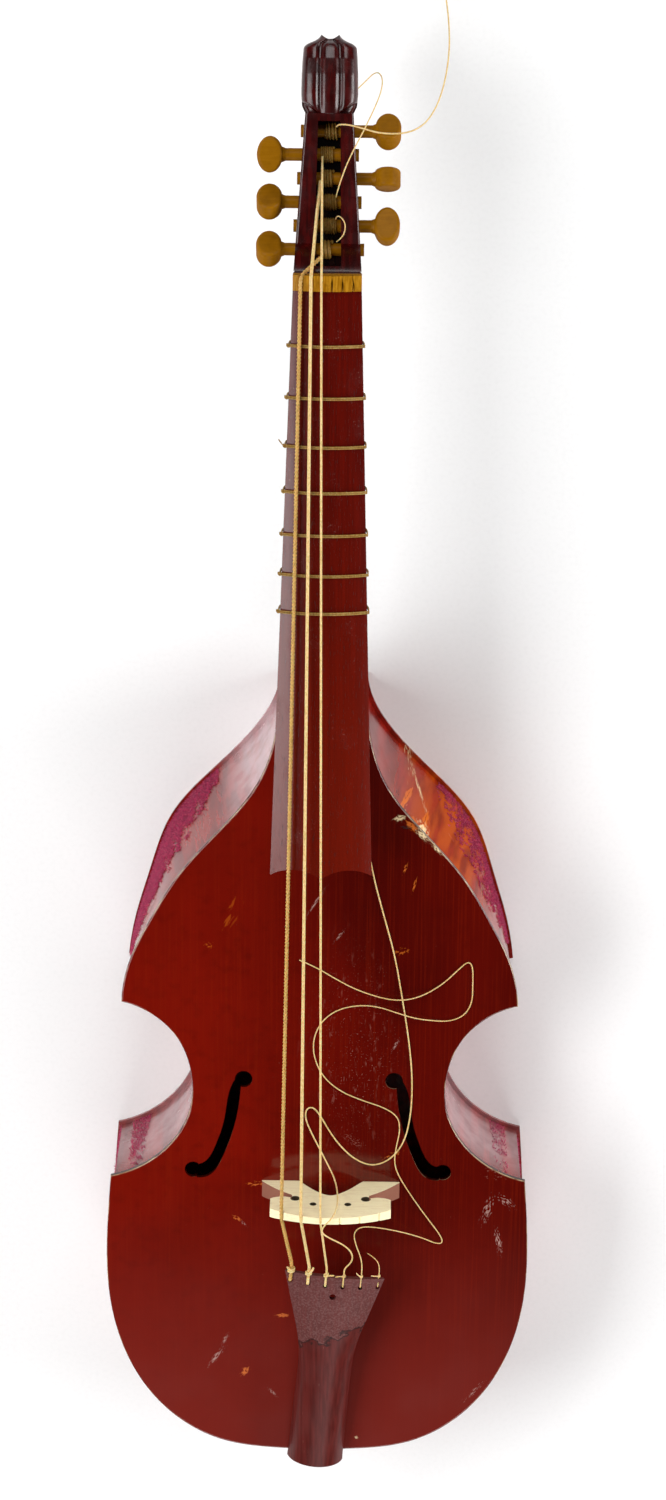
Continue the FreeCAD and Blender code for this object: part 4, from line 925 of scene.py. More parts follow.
def ring_frames(path: np.ndarray, closed: bool) -> tuple[np.ndarray, np.ndarray]:
    """Return two unit vectors across a path at each of its points, carried along without twist.

    The vector a(i + 1) is a(i) with its part along the next tangent t removed: a - (a . t) t.

    Args:
        path: The path's points.
        closed: Whether its end meets its start.

    Returns:
        The two vectors, one row each per point.
    """
    if closed:
        tangents = np.roll(path, -1, 0) - np.roll(path, 1, 0)
    else:
        tangents = np.gradient(path, axis=0)
    tangents /= np.linalg.norm(tangents, axis=1, keepdims=True)
    across = np.empty_like(path)
    start = np.cross(tangents[0], (0.0, 0.0, 1.0) if abs(tangents[0][2]) < 0.9 else (1.0, 0.0, 0.0))
    across[0] = start / np.linalg.norm(start)
    for i in range(1, len(path)):
        carried = across[i - 1] - across[i - 1].dot(tangents[i]) * tangents[i]
        across[i] = carried / np.linalg.norm(carried)
    return across, np.cross(tangents, across)


@dataclass(frozen=True)
class Section:
    """A round string section, or one roped from strands, in millimetres.

    The radius at angle a and distance s along is r (1 - depth (1 - cos(strands a - 2 pi s / pitch)) / 2).
    """

    radius: float
    sides: int = 10
    strands: int = 0
    depth: float = 0.0
    pitch: float = 1.0


def tube_faces(rings: int, sides: int, closed: bool = False) -> np.ndarray:
    """Return the four-cornered faces between neighbouring rings of points.

    Args:
        rings: How many rings there are.
        sides: How many points each has.
        closed: Whether the last ring meets the first.

    Returns:
        One row of point numbers per face.
    """
    here = np.arange(rings if closed else rings - 1)[:, None] * sides
    side = np.arange(sides)[None, :]
    after = (here + sides) % (rings * sides)
    turn = (side + 1) % sides
    return np.stack([here + side, here + turn, after + turn, after + side], axis=-1).reshape(-1, 4)


def swept(path: np.ndarray, section: Section, closed: bool = False) -> Shape:
    """Sweep a section along a path of metres, and return its points and its four-cornered faces.

    Args:
        path: The centre line's points.
        section: The section's shape.
        closed: Whether the path's end meets its start.

    Returns:
        The points and the faces, the ends closed by collapsed rings.
    """
    across, up = ring_frames(path, closed)
    steps = np.linalg.norm(np.diff(path, axis=0), axis=1)
    run = np.concatenate([[0.0], np.cumsum(steps)])[:, None]
    angles = np.linspace(0, 2 * np.pi, section.sides, endpoint=False)[None, :]
    wave = np.cos(section.strands * angles - 2 * np.pi * run / (section.pitch * MM))
    radius = section.radius * MM * (1 - section.depth * (1 - wave) / 2)
    if not closed:
        radius[[0, -1]] *= 0.05
        path = path.copy()
    points = (path[:, None, :] + radius[..., None] * (np.cos(angles)[..., None] * across[:, None, :]
                                                      + np.sin(angles)[..., None] * up[:, None, :]))
    return points.reshape(-1, 3), tube_faces(len(path), section.sides, closed)


def joined(pieces: Sequence[Shape]) -> Shape:
    """Join several shapes into one.

    Args:
        pieces: The shapes.

    Returns:
        All points and all faces.
    """
    starts = np.cumsum([0] + [len(points) for points, _ in pieces[:-1]])
    faces = [faces + start for start, (_, faces) in zip(starts, pieces)]
    return np.concatenate([points for points, _ in pieces]), np.concatenate(faces)


def spline(name: str, points: np.ndarray, resolution: int = 12) -> bpy.types.Curve:
    """Return a curve of one open, smooth spline.

    Args:
        name: The curve's name.
        points: Its control points in metres.
        resolution: How finely each stretch is drawn.

    Returns:
        The curve, without thickness.
    """
    curve = bpy.data.curves.new(name, "CURVE")
    curve.dimensions = "3D"
    line = curve.splines.new("NURBS")
    line.points.add(len(points) - 1)
    line.points.foreach_set("co", np.column_stack([points, np.ones(len(points))]).ravel())
    line.order_u = 3
    line.use_endpoint_u = True
    line.resolution_u = resolution
    return curve


def sampled(points: np.ndarray, spacing: float, resolution: int = 12) -> np.ndarray:
    """Return evenly spaced points on the smooth spline of some control points.

    Args:
        points: The control points in metres.
        spacing: The distance between two samples in millimetres.
        resolution: How finely the spline is read first.

    Returns:
        One row per point.
    """
    curve = spline("sampled", points, resolution)
    holder = bpy.data.objects.new("sampled", curve)
    mesh = bpy.data.meshes.new_from_object(holder)
    line = np.empty(len(mesh.vertices) * 3, dtype=np.float32)
    mesh.vertices.foreach_get("co", line)
    bpy.data.objects.remove(holder)
    bpy.data.curves.remove(curve)
    bpy.data.meshes.remove(mesh)
    line = line.reshape(-1, 3).astype(float)
    run = np.concatenate([[0.0], np.cumsum(np.linalg.norm(np.diff(line, axis=0), axis=1))])
    even = np.linspace(0, run[-1], max(int(run[-1] / (spacing * MM)), 4))
    return np.column_stack([np.interp(even, run, line[:, axis]) for axis in range(3)])


def coil(centre: np.ndarray, along: np.ndarray, radius: float, turns: float, pitch: float,
         wander: float = 0.0, seed: int = 0) -> np.ndarray:
    """Return a helix in metres round a centre: c + u x + r (v cos t + w sin t).

    Args:
        centre: The coil's middle.
        along: A vector along its axis.
        radius: Its radius in millimetres.
        turns: How many times it goes round.
        pitch: How far it moves along its axis in one turn, in millimetres.
        wander: How far its turns stray along the axis, in millimetres.
        seed: What the straying is drawn from.

    Returns:
        One row per point.
    """
    u = along / np.linalg.norm(along)
    v = np.cross(u, (0.0, 0.0, 1.0) if abs(u[2]) < 0.9 else (1.0, 0.0, 0.0))
    v /= np.linalg.norm(v)
    w = np.cross(u, v)
    t = np.linspace(0, 2 * np.pi * turns, max(int(turns * 20), 8))
    chance = np.random.default_rng(seed)
    nodes = np.linspace(0, t[-1], int(turns) + 3)
    stray = np.interp(t, nodes, chance.uniform(-wander, wander, len(nodes)))
    x = ((t / (2 * np.pi) - turns / 2) * pitch + stray) * MM
    ring = radius * MM * (np.cos(t)[:, None] * v + np.sin(t)[:, None] * w)
    return centre + x[:, None] * u + ring


def smooth_share(value: np.ndarray) -> np.ndarray:
    """Return 3 v^2 - 2 v^3 with v kept between 0 and 1."""
    kept = np.clip(value, 0, 1)
    return kept * kept * (3 - 2 * kept)


def hull_path(node: bpy.types.Object, inset: float, directions: int = 160) -> np.ndarray:
    """Return a closed path inside a fret band's outer surface, across the neck.

    In each direction u(a) = (cos a, 0, sin a) the outermost point p is moved in to p - inset u(a).

    Args:
        node: The fret's CAD node.
        inset: How far the path stays inside, in millimetres.
        directions: How many directions are looked in.

    Returns:
        The path's points, evenly spaced.
    """
    flat = np.empty(len(node.data.vertices) * 3, dtype=np.float32)
    node.data.vertices.foreach_get("co", flat)
    points = flat.reshape(-1, 3).astype(float)
    middle = (points.min(0) + points.max(0)) / 2
    angles = np.linspace(0, 2 * np.pi, directions, endpoint=False)
    looks = np.column_stack([np.cos(angles), np.zeros(directions), np.sin(angles)])
    outer = points[np.argmax(points @ looks.T, axis=0)]
    outer[:, 1] = middle[1]
    path = outer - inset * MM * looks
    loop = np.vstack([path, path[:1]])
    steps = np.linalg.norm(np.diff(loop, axis=0), axis=1)
    run = np.concatenate([[0.0], np.cumsum(steps)])
    even = np.linspace(0, run[-1], 220, endpoint=False)
    return np.column_stack([np.interp(even, run, loop[:, axis]) for axis in range(3)])


def lattice_noise(points: np.ndarray, grain: float, seed: int) -> np.ndarray:
    """Return smooth noise from 0 to 1, as a sum of plane waves with random directions and phases.

    Args:
        points: Where it is read, in metres.
        grain: The size of its patches in millimetres.
        seed: What the waves are drawn from.

    Returns:
        One value per point.
    """
    chance = np.random.default_rng(seed)
    waves = chance.normal(size=(14, 3)) * 2 * np.pi / (grain * MM) * 0.5
    phases = chance.uniform(0, 2 * np.pi, 14)
    total = np.cos(points @ waves.T + phases).sum(1) / math.sqrt(7)
    return 0.5 + 0.5 * np.tanh(total)


# ---- sub-assemblies ------------------------------------------------------------------------------
@dataclass(frozen=True)
class SubAssembly:
    """Pieces of the viol that are built and dressed together."""

    frame: Mapping
    layout: Layout

    def build(self) -> None:
        """Build the finer pieces that take the place of plain CAD nodes."""

    def dress(self) -> None:
        """Give the CAD nodes that still show their finishes."""

    def nodes_of(self, slot: str) -> list[str]:
        """Return the names of the CAD nodes whose first material is a slot."""
        return [row["node"] for row in self.frame["record"]["subparts"] if row["material_slot"] == slot]

    def put_on(self, nodes: Sequence[str], material: bpy.types.Material) -> None:
        """Give CAD nodes a material in all of their slots.

        Args:
            nodes: The nodes' names.
            material: The finish.
        """
        for name in nodes:
            for slot in self.frame["nodes"][name].material_slots:
                slot.material = material
            LOG.info("%s: dressed in %s", name, material.name)

    def add_piece(self, name: str, shape: Shape, material: bpy.types.Material, slot: str,
                  node: str | None = None, body: str = ROOT, smooth: bool = True) -> bpy.types.Object:
        """Make a piece, hang it on its body, name its slot and report it.

        Args:
            name: The piece's name.
            shape: Its points and faces.
            material: Its finish.
            slot: The record's material slot that it shows.
            node: The CAD node that it replaces, if any.
            body: The CAD body that it rides on.
            smooth: Whether its faces are shaded smooth.

        Returns:
            The piece.
        """
        piece = mesh_object(name, shape, material, smooth)
        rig.ride(piece, body)
        if node is not None:
            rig.replaces(piece, node)
        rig.slot(piece, slot)
        LOG.info("%s: %d faces on %s", name, len(piece.data.polygons), body)
        return piece


# ---- strings -------------------------------------------------------------------------------------
@dataclass(frozen=True)
class LooseString:
    """One broken string's loose length: the same route as in the CAD source, in millimetres."""

    node: str
    radius: float
    length: float
    route: tuple[tuple[float, float, float], ...]
    lay: str = "loose"


ON_BELLY = 0.85
LOOSE_STRINGS = (
    LooseString("broken_string_4", 0.55, 550.7, (
        (19.9, -66.09, 32.95), (20.76, -55.62, 32.95),
        (21.0, -50.5, 33.4), (25.4, -44.5, 37.0), (27.3, -37.0, 43.0), (25.6, -28.0, 49.5),
        (19.0, -19.5, 55.5), (9.5, -13.0, 59.5), (3.4, -7.5, 62.0), (4.8, -1.8, 63.2), (10.5, 3.0, 61.5),
        (14.6, 7.5, 53.0), (15.4, 9.0, 38.0), (14.8, 9.8, 23.0), (12.8, 12.4, 9.5), (8.4, 19.0, 2.4),
        (2.2, 31.0, ON_BELLY), (-5.4, 46.5, ON_BELLY), (-9.9, 57.5, ON_BELLY), (-9.4, 66.0, ON_BELLY),
        (-3.6, 67.4, ON_BELLY), (2.2, 59.0, ON_BELLY), (8.4, 47.5, ON_BELLY), (16.6, 35.6, ON_BELLY),
        (27.6, 24.8, ON_BELLY), (41.0, 19.2, ON_BELLY), (54.6, 24.6, ON_BELLY), (65.2, 39.4, ON_BELLY),
        (69.8, 63.0, ON_BELLY), (70.2, 93.0, ON_BELLY), (66.8, 124.5, ON_BELLY), (61.2, 158.0, ON_BELLY),
        (55.4, 191.0, ON_BELLY), (45.2, 227.5, ON_BELLY), (38.0, 255.0, ON_BELLY), (34.0, 277.0, ON_BELLY))),
    LooseString("broken_string_5", 0.42, 648.6, (
        (33.16, -67.18, 31.06), (34.02, -56.71, 31.06),
        (34.4, -49.5, 31.8), (33.2, -42.0, 30.5), (29.4, -33.5, 28.0), (27.4, -25.6, 24.5),
        (32.4, -21.6, 20.5), (45.5, -25.4, 13.5), (64.5, -32.6, 6.0), (80.5, -39.4, 1.6),
        (90.0, -44.2, ON_BELLY), (95.8, -44.0, ON_BELLY), (94.0, -37.6, ON_BELLY), (85.5, -26.0, ON_BELLY),
        (75.0, -11.0, ON_BELLY), (65.8, 3.4, ON_BELLY), (59.8, 14.5, ON_BELLY), (57.6, 24.5, 3.7),
        (58.8, 36.5, 3.7), (61.6, 48.0, ON_BELLY), (60.4, 60.0, ON_BELLY), (49.6, 67.6, ON_BELLY),
        (32.0, 73.4, ON_BELLY), (15.6, 80.6, ON_BELLY), (2.6, 92.4, ON_BELLY), (-4.2, 108.6, ON_BELLY),
        (-4.4, 123.6, ON_BELLY), (1.6, 137.2, ON_BELLY), (13.2, 146.6, ON_BELLY), (28.6, 150.4, ON_BELLY),
        (43.6, 149.4, ON_BELLY), (57.2, 145.8, 3.7), (70.2, 141.6, 3.7), (83.6, 138.6, ON_BELLY),
        (97.4, 138.2, ON_BELLY), (108.4, 143.2, ON_BELLY), (113.8, 154.0, ON_BELLY), (113.8, 169.0, ON_BELLY),
        (113.6, 182.0, ON_BELLY), (110.2, 186.8, ON_BELLY), (103.4, 180.4, ON_BELLY), (93.2, 169.6, ON_BELLY),
        (81.2, 160.9, ON_BELLY), (68.6, 156.6, 3.7), (55.4, 155.6, 3.7), (42.0, 157.4, ON_BELLY),
        (26.4, 163.0, ON_BELLY), (11.0, 171.4, ON_BELLY), (-2.4, 180.0, ON_BELLY), (-15.4, 185.8, ON_BELLY))),
    LooseString("broken_string_6", 0.35, 31.3, (
        (46.41, -68.27, 27.38), (47.27, -57.8, 27.38),
        (47.5, -53.5, 28.1), (47.0, -49.0, 27.4), (43.8, -45.4, 24.8), (38.4, -43.2, 21.6))),
    LooseString("broken_end_peg_6", 0.55, 222.1, (
        (5.2, 804.5, -0.6), (5.8, 806.2, 3.6), (8.2, 807.4, 8.0), (13.6, 807.6, 10.4),
        (23.0, 805.4, 11.0), (32.6, 802.6, 11.1), (42.0, 801.8, 11.1), (51.4, 802.2, 10.8),
        (60.2, 804.4, 8.2), (68.4, 809.8, 1.6), (75.8, 820.4, -12.0), (81.0, 835.4, -33.0),
        (83.6, 851.0, -58.0), (83.4, 865.0, -80.0), (82.0, 877.6, -96.0),
        (79.6, 888.6, -103.8), (75.6, 901.0, -104.0))),
    LooseString("broken_end_peg_3", 0.45, 218.7, (
        (5.5, 757.2, 9.3), (6.2, 762.0, 14.0), (8.4, 770.4, 19.0), (12.9, 783.4, 21.6),
        (19.6, 797.0, 20.6), (26.2, 809.4, 15.8), (32.4, 821.2, 5.4), (36.2, 829.6, -10.0),
        (36.6, 834.2, -29.0), (34.0, 835.4, -49.0), (30.0, 831.4, -68.0),
        (24.8, 823.4, -85.0), (16.6, 813.4, -98.0), (5.6, 806.6, -104.0), (-7.4, 805.4, -104.1))),
    LooseString("broken_end_peg_2", 0.40, 34.3, (
        (5.3, 741.9, 11.0), (5.6, 744.9, 15.8), (8.4, 746.0, 21.0), (12.0, 742.0, 23.8),
        (11.8, 735.6, 24.4), (9.0, 730.6, 22.6), (6.0, 727.8, 19.4))),
)
# the thickest string, from its peg over nut and bridge into the tailpiece
ROPED_ROUTE = (
    (-5.0, 716.4, 18.6), (-11.8, 711.2, 27.2), (-17.0, 707.6, 33.6), (-18.6, 703.4, 35.8),
    (-18.6, 697.0, 35.8), (-18.9, 671.0, 36.2), (-22.5, 356.0, 42.6), (-26.4, 22.0, 49.3),
    (-26.6, 3.0, 49.9), (-26.4, -3.0, 49.1), (-25.2, -10.4, 45.6), (-20.2, -41.0, 32.2),
    (-18.9, -48.0, 29.0), (-19.0, -55.0, 28.6), (-19.8, -62.0, 28.5), (-19.9, -63.8, 26.6),
    (-19.9, -63.8, 20.6))

@dataclass(frozen=True)
class TailKnot:
    """One string's knot at the tailpiece: string radius, place, and its cut tail's way from the place."""

    radius: float
    place: tuple[float, float, float]
    tail: tuple[tuple[float, float, float], tuple[float, float, float]]


@dataclass(frozen=True)
class Strings(SubAssembly):
    """Three whole strings, the loose ends of three broken ones, and all six knots; millimetres."""

    loose: tuple[LooseString, ...] = LOOSE_STRINGS
    roped_route: tuple[tuple[float, float, float], ...] = ROPED_ROUTE
    roped: Section = Section(radius=1.5, sides=12, strands=2, depth=0.30, pitch=2.6)
    knots: tuple[TailKnot, ...] = (
        TailKnot(1.5, (-19.1, -54.3, 28.6), ((-1.5, 2.0, 0.6), (-3.5, 3.4, 0.2))),
        TailKnot(1.15, (-5.9, -55.2, 31.8), ((3.0, 2.6, 0.8), (3.6, 6.2, 1.8))),
        TailKnot(0.8, (7.3, -56.2, 33.2), ((3.2, 0.6, 1.0), (6.2, 0.4, 0.4))),
        TailKnot(0.55, (20.7, -57.1, 33.0), ((-3.4, 1.0, 0.8), (-6.6, 0.2, 1.4))),
        TailKnot(0.42, (33.9, -58.1, 31.1), ((-2.8, 1.6, 0.6), (-3.8, 4.0, 0.9))),
        TailKnot(0.35, (47.2, -59.2, 27.4), ((-3.0, 0.4, 0.4), (-6.2, 0.6, 0.6))),
    )
    # the strings fall to the tail and lean to the treble side there
    knot_axis: tuple[float, float, float] = (0.082, 0.99, 0.1)
    knot_turns: float = 2.3
    thinnest_strand: float = 0.42
    thickest_strand: float = 0.8

    def build(self) -> None:
        """Make the loose ends, the roped string and the knots."""
        plain = Gut(self.layout, Tone.GUT, Tone.GUT_OCHRE).make("rubbed_gut")
        for string in self.loose:
            self.lay_loose(string, plain)
        self.rope(Gut(self.layout, Tone.ROPE, Tone.ROPE_DARK, 0.45).make("roped_gut"))
        self.tie_knots(plain)

    def dress(self) -> None:
        """Give the strings that stay as CAD tubes the look of plain gut."""
        self.put_on(self.nodes_of("gut"), bpy.data.materials["rubbed_gut"])

    def lay_loose(self, string: LooseString, material: bpy.types.Material) -> None:
        """Make one broken string as a smooth curve in place of its CAD tube.

        Args:
            string: The string's sizes and route.
            material: Its finish.
        """
        points = self.layout.place(string.route)
        curve = spline(string.node + "_gut", points, 16)
        curve.bevel_depth = string.radius * MM
        curve.bevel_resolution = 3
        curve.use_fill_caps = True
        curve.materials.append(material)
        piece = bpy.data.objects.new(string.node + "_gut", curve)
        bpy.context.scene.collection.objects.link(piece)
        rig.ride(piece, ROOT)
        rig.replaces(piece, string.node)
        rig.slot(piece, "gut")
        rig.cord(piece, exit=tuple(points[0]), length=string.length * MM, diameter=2 * string.radius * MM,
                far_end="bare", stiffness="stiff", lay=string.lay)
        LOG.info("%s: %.1f mm of gut", piece.name, string.length)

    def rope(self, material: bpy.types.Material) -> None:
        """Make the thickest string as two strands roped together."""
        path = sampled(self.layout.place(self.roped_route), 0.26, 64)
        self.add_piece("string_1_roped", swept(path, self.roped), material, "gut", "string_1")

    def tie_knots(self, material: bpy.types.Material) -> None:
        """Tie each string at the tailpiece: two turns round it and a cut tail.

        Args:
            material: The knots' finish.
        """
        pieces = []
        for number, knot in enumerate(self.knots):
            strand = min(max(knot.radius * 0.8, self.thinnest_strand), self.thickest_strand)
            turns = coil(self.layout.place([knot.place])[0], np.array(self.knot_axis),
                         knot.radius + strand * 0.9,
                         self.knot_turns, strand * 2.0, 0.15, 20 + number)
            root = np.add(knot.place, (0, 0, knot.radius + 0.4))
            start = np.add(knot.place, (0, 0, knot.radius + strand))
            tail = self.layout.place([start, *(root + np.array(knot.tail))])
            pieces.append(swept(turns, Section(strand, 8)))
            pieces.append(swept(sampled(tail, 0.5), Section(strand, 8)))
        self.add_piece("tail_knots", joined(pieces), material, "gut", "string_knots")


# ---- pegs ----------------------------------------------------------------------------------------
@dataclass(frozen=True)
class Wound:
    """String wound on a peg: its thickness, and where the turns' middle is from the peg's middle."""

    thickness: float
    middle: float


@dataclass(frozen=True)
class Pegs(SubAssembly):
    """Six boxwood pegs, each with its string wound on it; sizes in millimetres."""

    radius: float = 4.4
    wound_length: float = 10.5
    wound: tuple[Wound, ...] = (Wound(2.4, -1.2), Wound(0.8, 1.2), Wound(0.9, 1.2),
                                Wound(2.0, -1.2), Wound(1.5, -1.2), Wound(1.1, 1.2))
    # a string thinner than this has a loose second layer over its first
    second_layer_below: float = 1.2

    def build(self) -> None:
        """Wind all six strings."""
        material = Gut(self.layout, Tone.WOUND, Tone.BOXWOOD_DARK, 0.55).make("wound_gut")
        for number, wound in enumerate(self.wound, 1):
            self.wind(number, wound, material)

    def dress(self) -> None:
        """Give the pegs their boxwood."""
        pegs = [name for name in self.nodes_of("boxwood") if name != "nut"]
        self.put_on(pegs, Boxwood(self.layout).make("turned_boxwood"))

    def wind(self, number: int, wound: Wound, material: bpy.types.Material) -> None:
        """Wind one peg's string as real turns, with a few loose ones crossing over the first layer.

        Args:
            number: The peg's number.
            wound: The string's thickness and place.
            material: Its finish.
        """
        joint = next(j for j in self.frame["joints"] if j["name"] == f"peg_{number}_turn")
        centre = np.array(joint["pos_m"]) + (wound.middle * MM, 0, 0)
        turns = int(self.wound_length / wound.thickness)
        axis = np.array((1.0, 0.0, 0.0))
        half = wound.thickness / 2
        first = coil(centre, axis, self.radius + half, turns - 0.4, wound.thickness * 0.98, 0.12, number)
        pieces = [swept(first, Section(half * 0.96, 8))]
        if wound.thickness < self.second_layer_below:
            second = coil(centre, axis, self.radius + wound.thickness + half * 0.7, turns * 0.45,
                          wound.thickness * 1.9, 0.5, 10 + number)
            pieces.append(swept(second, Section(half * 0.9, 8)))
        self.add_piece(f"winding_{number}_turns", joined(pieces), material, "gut", f"winding_{number}",
                       f"peg_{number}")


# ---- carved head ---------------------------------------------------------------------------------
@dataclass(frozen=True)
class Station:
    """A height up the carved head, as a share of it: half-width share, front's drop, back's rise."""

    share: float
    wide: float
    drop: float
    rise: float


@dataclass(frozen=True)
class Head(SubAssembly):
    """The pegbox, and the carved urn with three lobes on top of it; sizes in millimetres."""

    tilt: float = math.radians(12.0)
    root_y: float = 707.0
    root_z: float = 14.0
    pegbox_length: float = 107.0
    finial_length: float = 55.9
    finial_half: float = 20.0
    finial_front: float = 13.8
    stations: tuple[Station, ...] = (
        Station(0.0, 0.82, 1.2, 0.6), Station(0.1, 0.955, 0.3, 0.2), Station(0.24, 0.99, 0.0, 0.0),
        Station(0.5, 0.98, 0.5, 0.2), Station(0.7, 0.955, 1.9, 0.9), Station(0.84, 0.92, 4.6, 2.4),
        Station(0.884, 0.79, 5.7, 3.2), Station(0.915, 0.57, 6.9, 4.2), Station(0.954, 0.40, 8.6, 5.6),
        Station(1.0, 0.31, 10.6, 7.4),
    )
    rings: int = 150
    sides: int = 128
    squareness: float = 0.62
    groove_depth: float = 2.6
    groove_place: float = 0.36
    groove_width: float = 0.11
    foot_depth: float = 5.2
    scoop: float = 0.055

    def build(self) -> None:
        """Carve the finial."""
        material = HeadVarnish(self.layout).make("carved_head_varnish")
        self.add_piece("finial_carving", self.carve(), material, "neck_varnish", "finial")

    def dress(self) -> None:
        """Give pegbox, neck and heel the carved head's varnish."""
        self.put_on(self.nodes_of("neck_varnish"), bpy.data.materials["carved_head_varnish"])

    def tilted(self, x: np.ndarray, along: np.ndarray, up: np.ndarray) -> np.ndarray:
        """Turn places across, along and up from the tilted head's axis into metres in the row frame.

        y = root + along cos(tilt) + up sin(tilt), and z = root - along sin(tilt) + up cos(tilt).

        Args:
            x: Places across the head.
            along: Places along its axis.
            up: Places above its axis.

        Returns:
            One row per point.
        """
        y = self.root_y + along * math.cos(self.tilt) + up * math.sin(self.tilt)
        z = self.root_z - along * math.sin(self.tilt) + up * math.cos(self.tilt)
        return self.layout.place(np.stack([x, y, z], axis=-1).reshape(-1, 3))

    def outline(self, up: np.ndarray) -> tuple[np.ndarray, np.ndarray, np.ndarray]:
        """Return half-width share, front's drop and back's rise at each height, softly rounded.

        The stations are joined by straight lines, which a bell-shaped mean over nine rings softens.

        Args:
            up: Shares of the head's length, one row per ring.

        Returns:
            The three values, one row per ring.
        """
        rows = np.array([(s.share, s.wide, s.drop, s.rise) for s in self.stations])
        kernel = np.hanning(9) / np.hanning(9).sum()
        lines = (np.interp(up[:, 0], rows[:, 0], rows[:, i]) for i in (1, 2, 3))
        wide, drop, rise = (np.convolve(np.pad(v, 4, "edge"), kernel, "valid")[:, None] for v in lines)
        return wide, drop, rise

    def carve(self) -> Shape:
        """Carve the head: rings up an urn, with three soft lobes on its front and a scalloped foot.

        A ring is the superellipse x = w c |c|^(n-1), z = h s |s|^(n-1), n being the squareness. On the
        front, two grooves take d exp(-((|x/w| - p) / g)^2) mm off it.

        Returns:
            The points and the faces.
        """
        up = np.concatenate([[0, 0, 0], np.linspace(0, 1, self.rings), [1, 1, 1]])[:, None]
        shrink = np.concatenate([[0.02, 0.5, 0.93], np.ones(self.rings), [0.93, 0.5, 0.02]])[:, None]
        wide, drop, rise = self.outline(up)
        angle = np.linspace(0, 2 * np.pi, self.sides, endpoint=False)[None, :]
        cosine, sine = np.cos(angle), np.sin(angle)
        out = np.sign(cosine) * np.abs(cosine) ** self.squareness * np.ones_like(up)
        high, low = self.finial_front - drop, -self.finial_front + rise
        middle, half = (high + low) / 2, (high - low) / 2
        level = middle + half * np.sign(sine) * np.abs(sine) ** self.squareness * shrink
        front = smooth_share(sine * 3)
        groove = self.groove_depth * np.exp(-(((np.abs(out) - self.groove_place) / self.groove_width) ** 2))
        groove = groove * (1 - 0.5 * smooth_share((0.12 - up) / 0.12))
        edge_line = np.interp(np.abs(out), (0.36, 0.5, 0.75, 1.0), (-0.04, 0.03, 0.11, 0.15))
        foot = self.foot_depth * smooth_share((edge_line - up) / 0.035 + 0.5)
        foot = foot * smooth_share((np.abs(out) - 0.34) / 0.08)
        level = level - front * (groove + foot) * shrink
        x = self.finial_half * wide * out * shrink
        bowl = np.clip(1 - (x / (0.31 * self.finial_half)) ** 2, 0, 1)
        scoop = self.scoop * smooth_share((up - 0.86) / 0.14) * bowl
        along = self.pegbox_length + self.finial_length * (0.975 * up - scoop)
        faces = tube_faces(len(up), self.sides)[:, ::-1]
        return self.tilted(x, along, level), faces


# ---- neck ----------------------------------------------------------------------------------------
@dataclass(frozen=True)
class Neck(SubAssembly):
    """The fingerboard, the nut and seven tied frets; sizes in millimetres."""

    frets: int = 7
    strand: float = 0.56
    thickness: float = 1.2
    sway: float = 0.12
    knot_radius: float = 1.05
    tail_reach: float = 1.6
    # the third fret's tail was left long
    long_tail: int = 3
    long_reach: float = 4.6

    def build(self) -> None:
        """Tie the frets."""
        material = Gut(self.layout, Tone.FRET, Tone.FRET_PALE, 0.45).make("fret_gut")
        for number in range(1, self.frets + 1):
            self.tie_fret(number, material)

    def dress(self) -> None:
        """Give fingerboard and nut their finishes."""
        self.put_on(["fingerboard"], BoardVarnish(self.layout).make("polished_fingerboard"))
        self.put_on(["nut"], NutBoxwood(self.layout).make("filed_boxwood_nut"))

    def tie_fret(self, number: int, material: bpy.types.Material) -> None:
        """Tie one fret as two turns of gut side by side, knotted at the bass edge.

        Args:
            number: The fret's number.
            material: Its finish.
        """
        path = hull_path(self.frame["nodes"][f"fret_{number}"], self.thickness / 2)
        still = np.zeros(len(path))
        chance = np.random.default_rng(40 + number)
        drawn = np.append(chance.uniform(-self.sway, self.sway, 8), 0)
        sway = np.interp(np.arange(len(path)), np.linspace(0, len(path), 9), drawn) * MM
        pieces = []
        for side in (-1, 1):
            beside = side * (self.strand + 0.02) * MM + sway
            strand = path + np.column_stack([still, beside, still])
            pieces.append(swept(strand, Section(self.strand, 8), closed=True))
        knot = path[np.argmin(path[:, 0] - 0.35 * path[:, 2])] + np.array((0.1, 0.0, -0.6)) * MM
        turns = coil(knot, np.array((0.35, 0.0, 1.0)), self.knot_radius, 2.2, 1.0, 0.1, number)
        pieces.append(swept(turns, Section(0.5, 8)))
        reach = self.long_reach if number == self.long_tail else self.tail_reach
        way = ((0, 0, 0), (-0.8, 0.6, 0.8), (-0.5 * reach, 0.3 * reach, 0.9), (-reach, 1.1 * reach, 1.2))
        pieces.append(swept(sampled(knot + np.array(way) * MM, 0.4), Section(0.42, 8)))
        name = f"fret_{number}"
        self.add_piece(f"{name}_gut", joined(pieces), material, "gut", name, name)


# ---- body ----------------------------------------------------------------------------------------
@dataclass(frozen=True)
class FlockPatch:
    """A strip of flock stuck to a rib, in millimetres from the bridge line and above the back."""

    name: str
    node: str
    bristles: int
    y: tuple[float, float]
    height: float
    cover: float
    length: float
    side: int


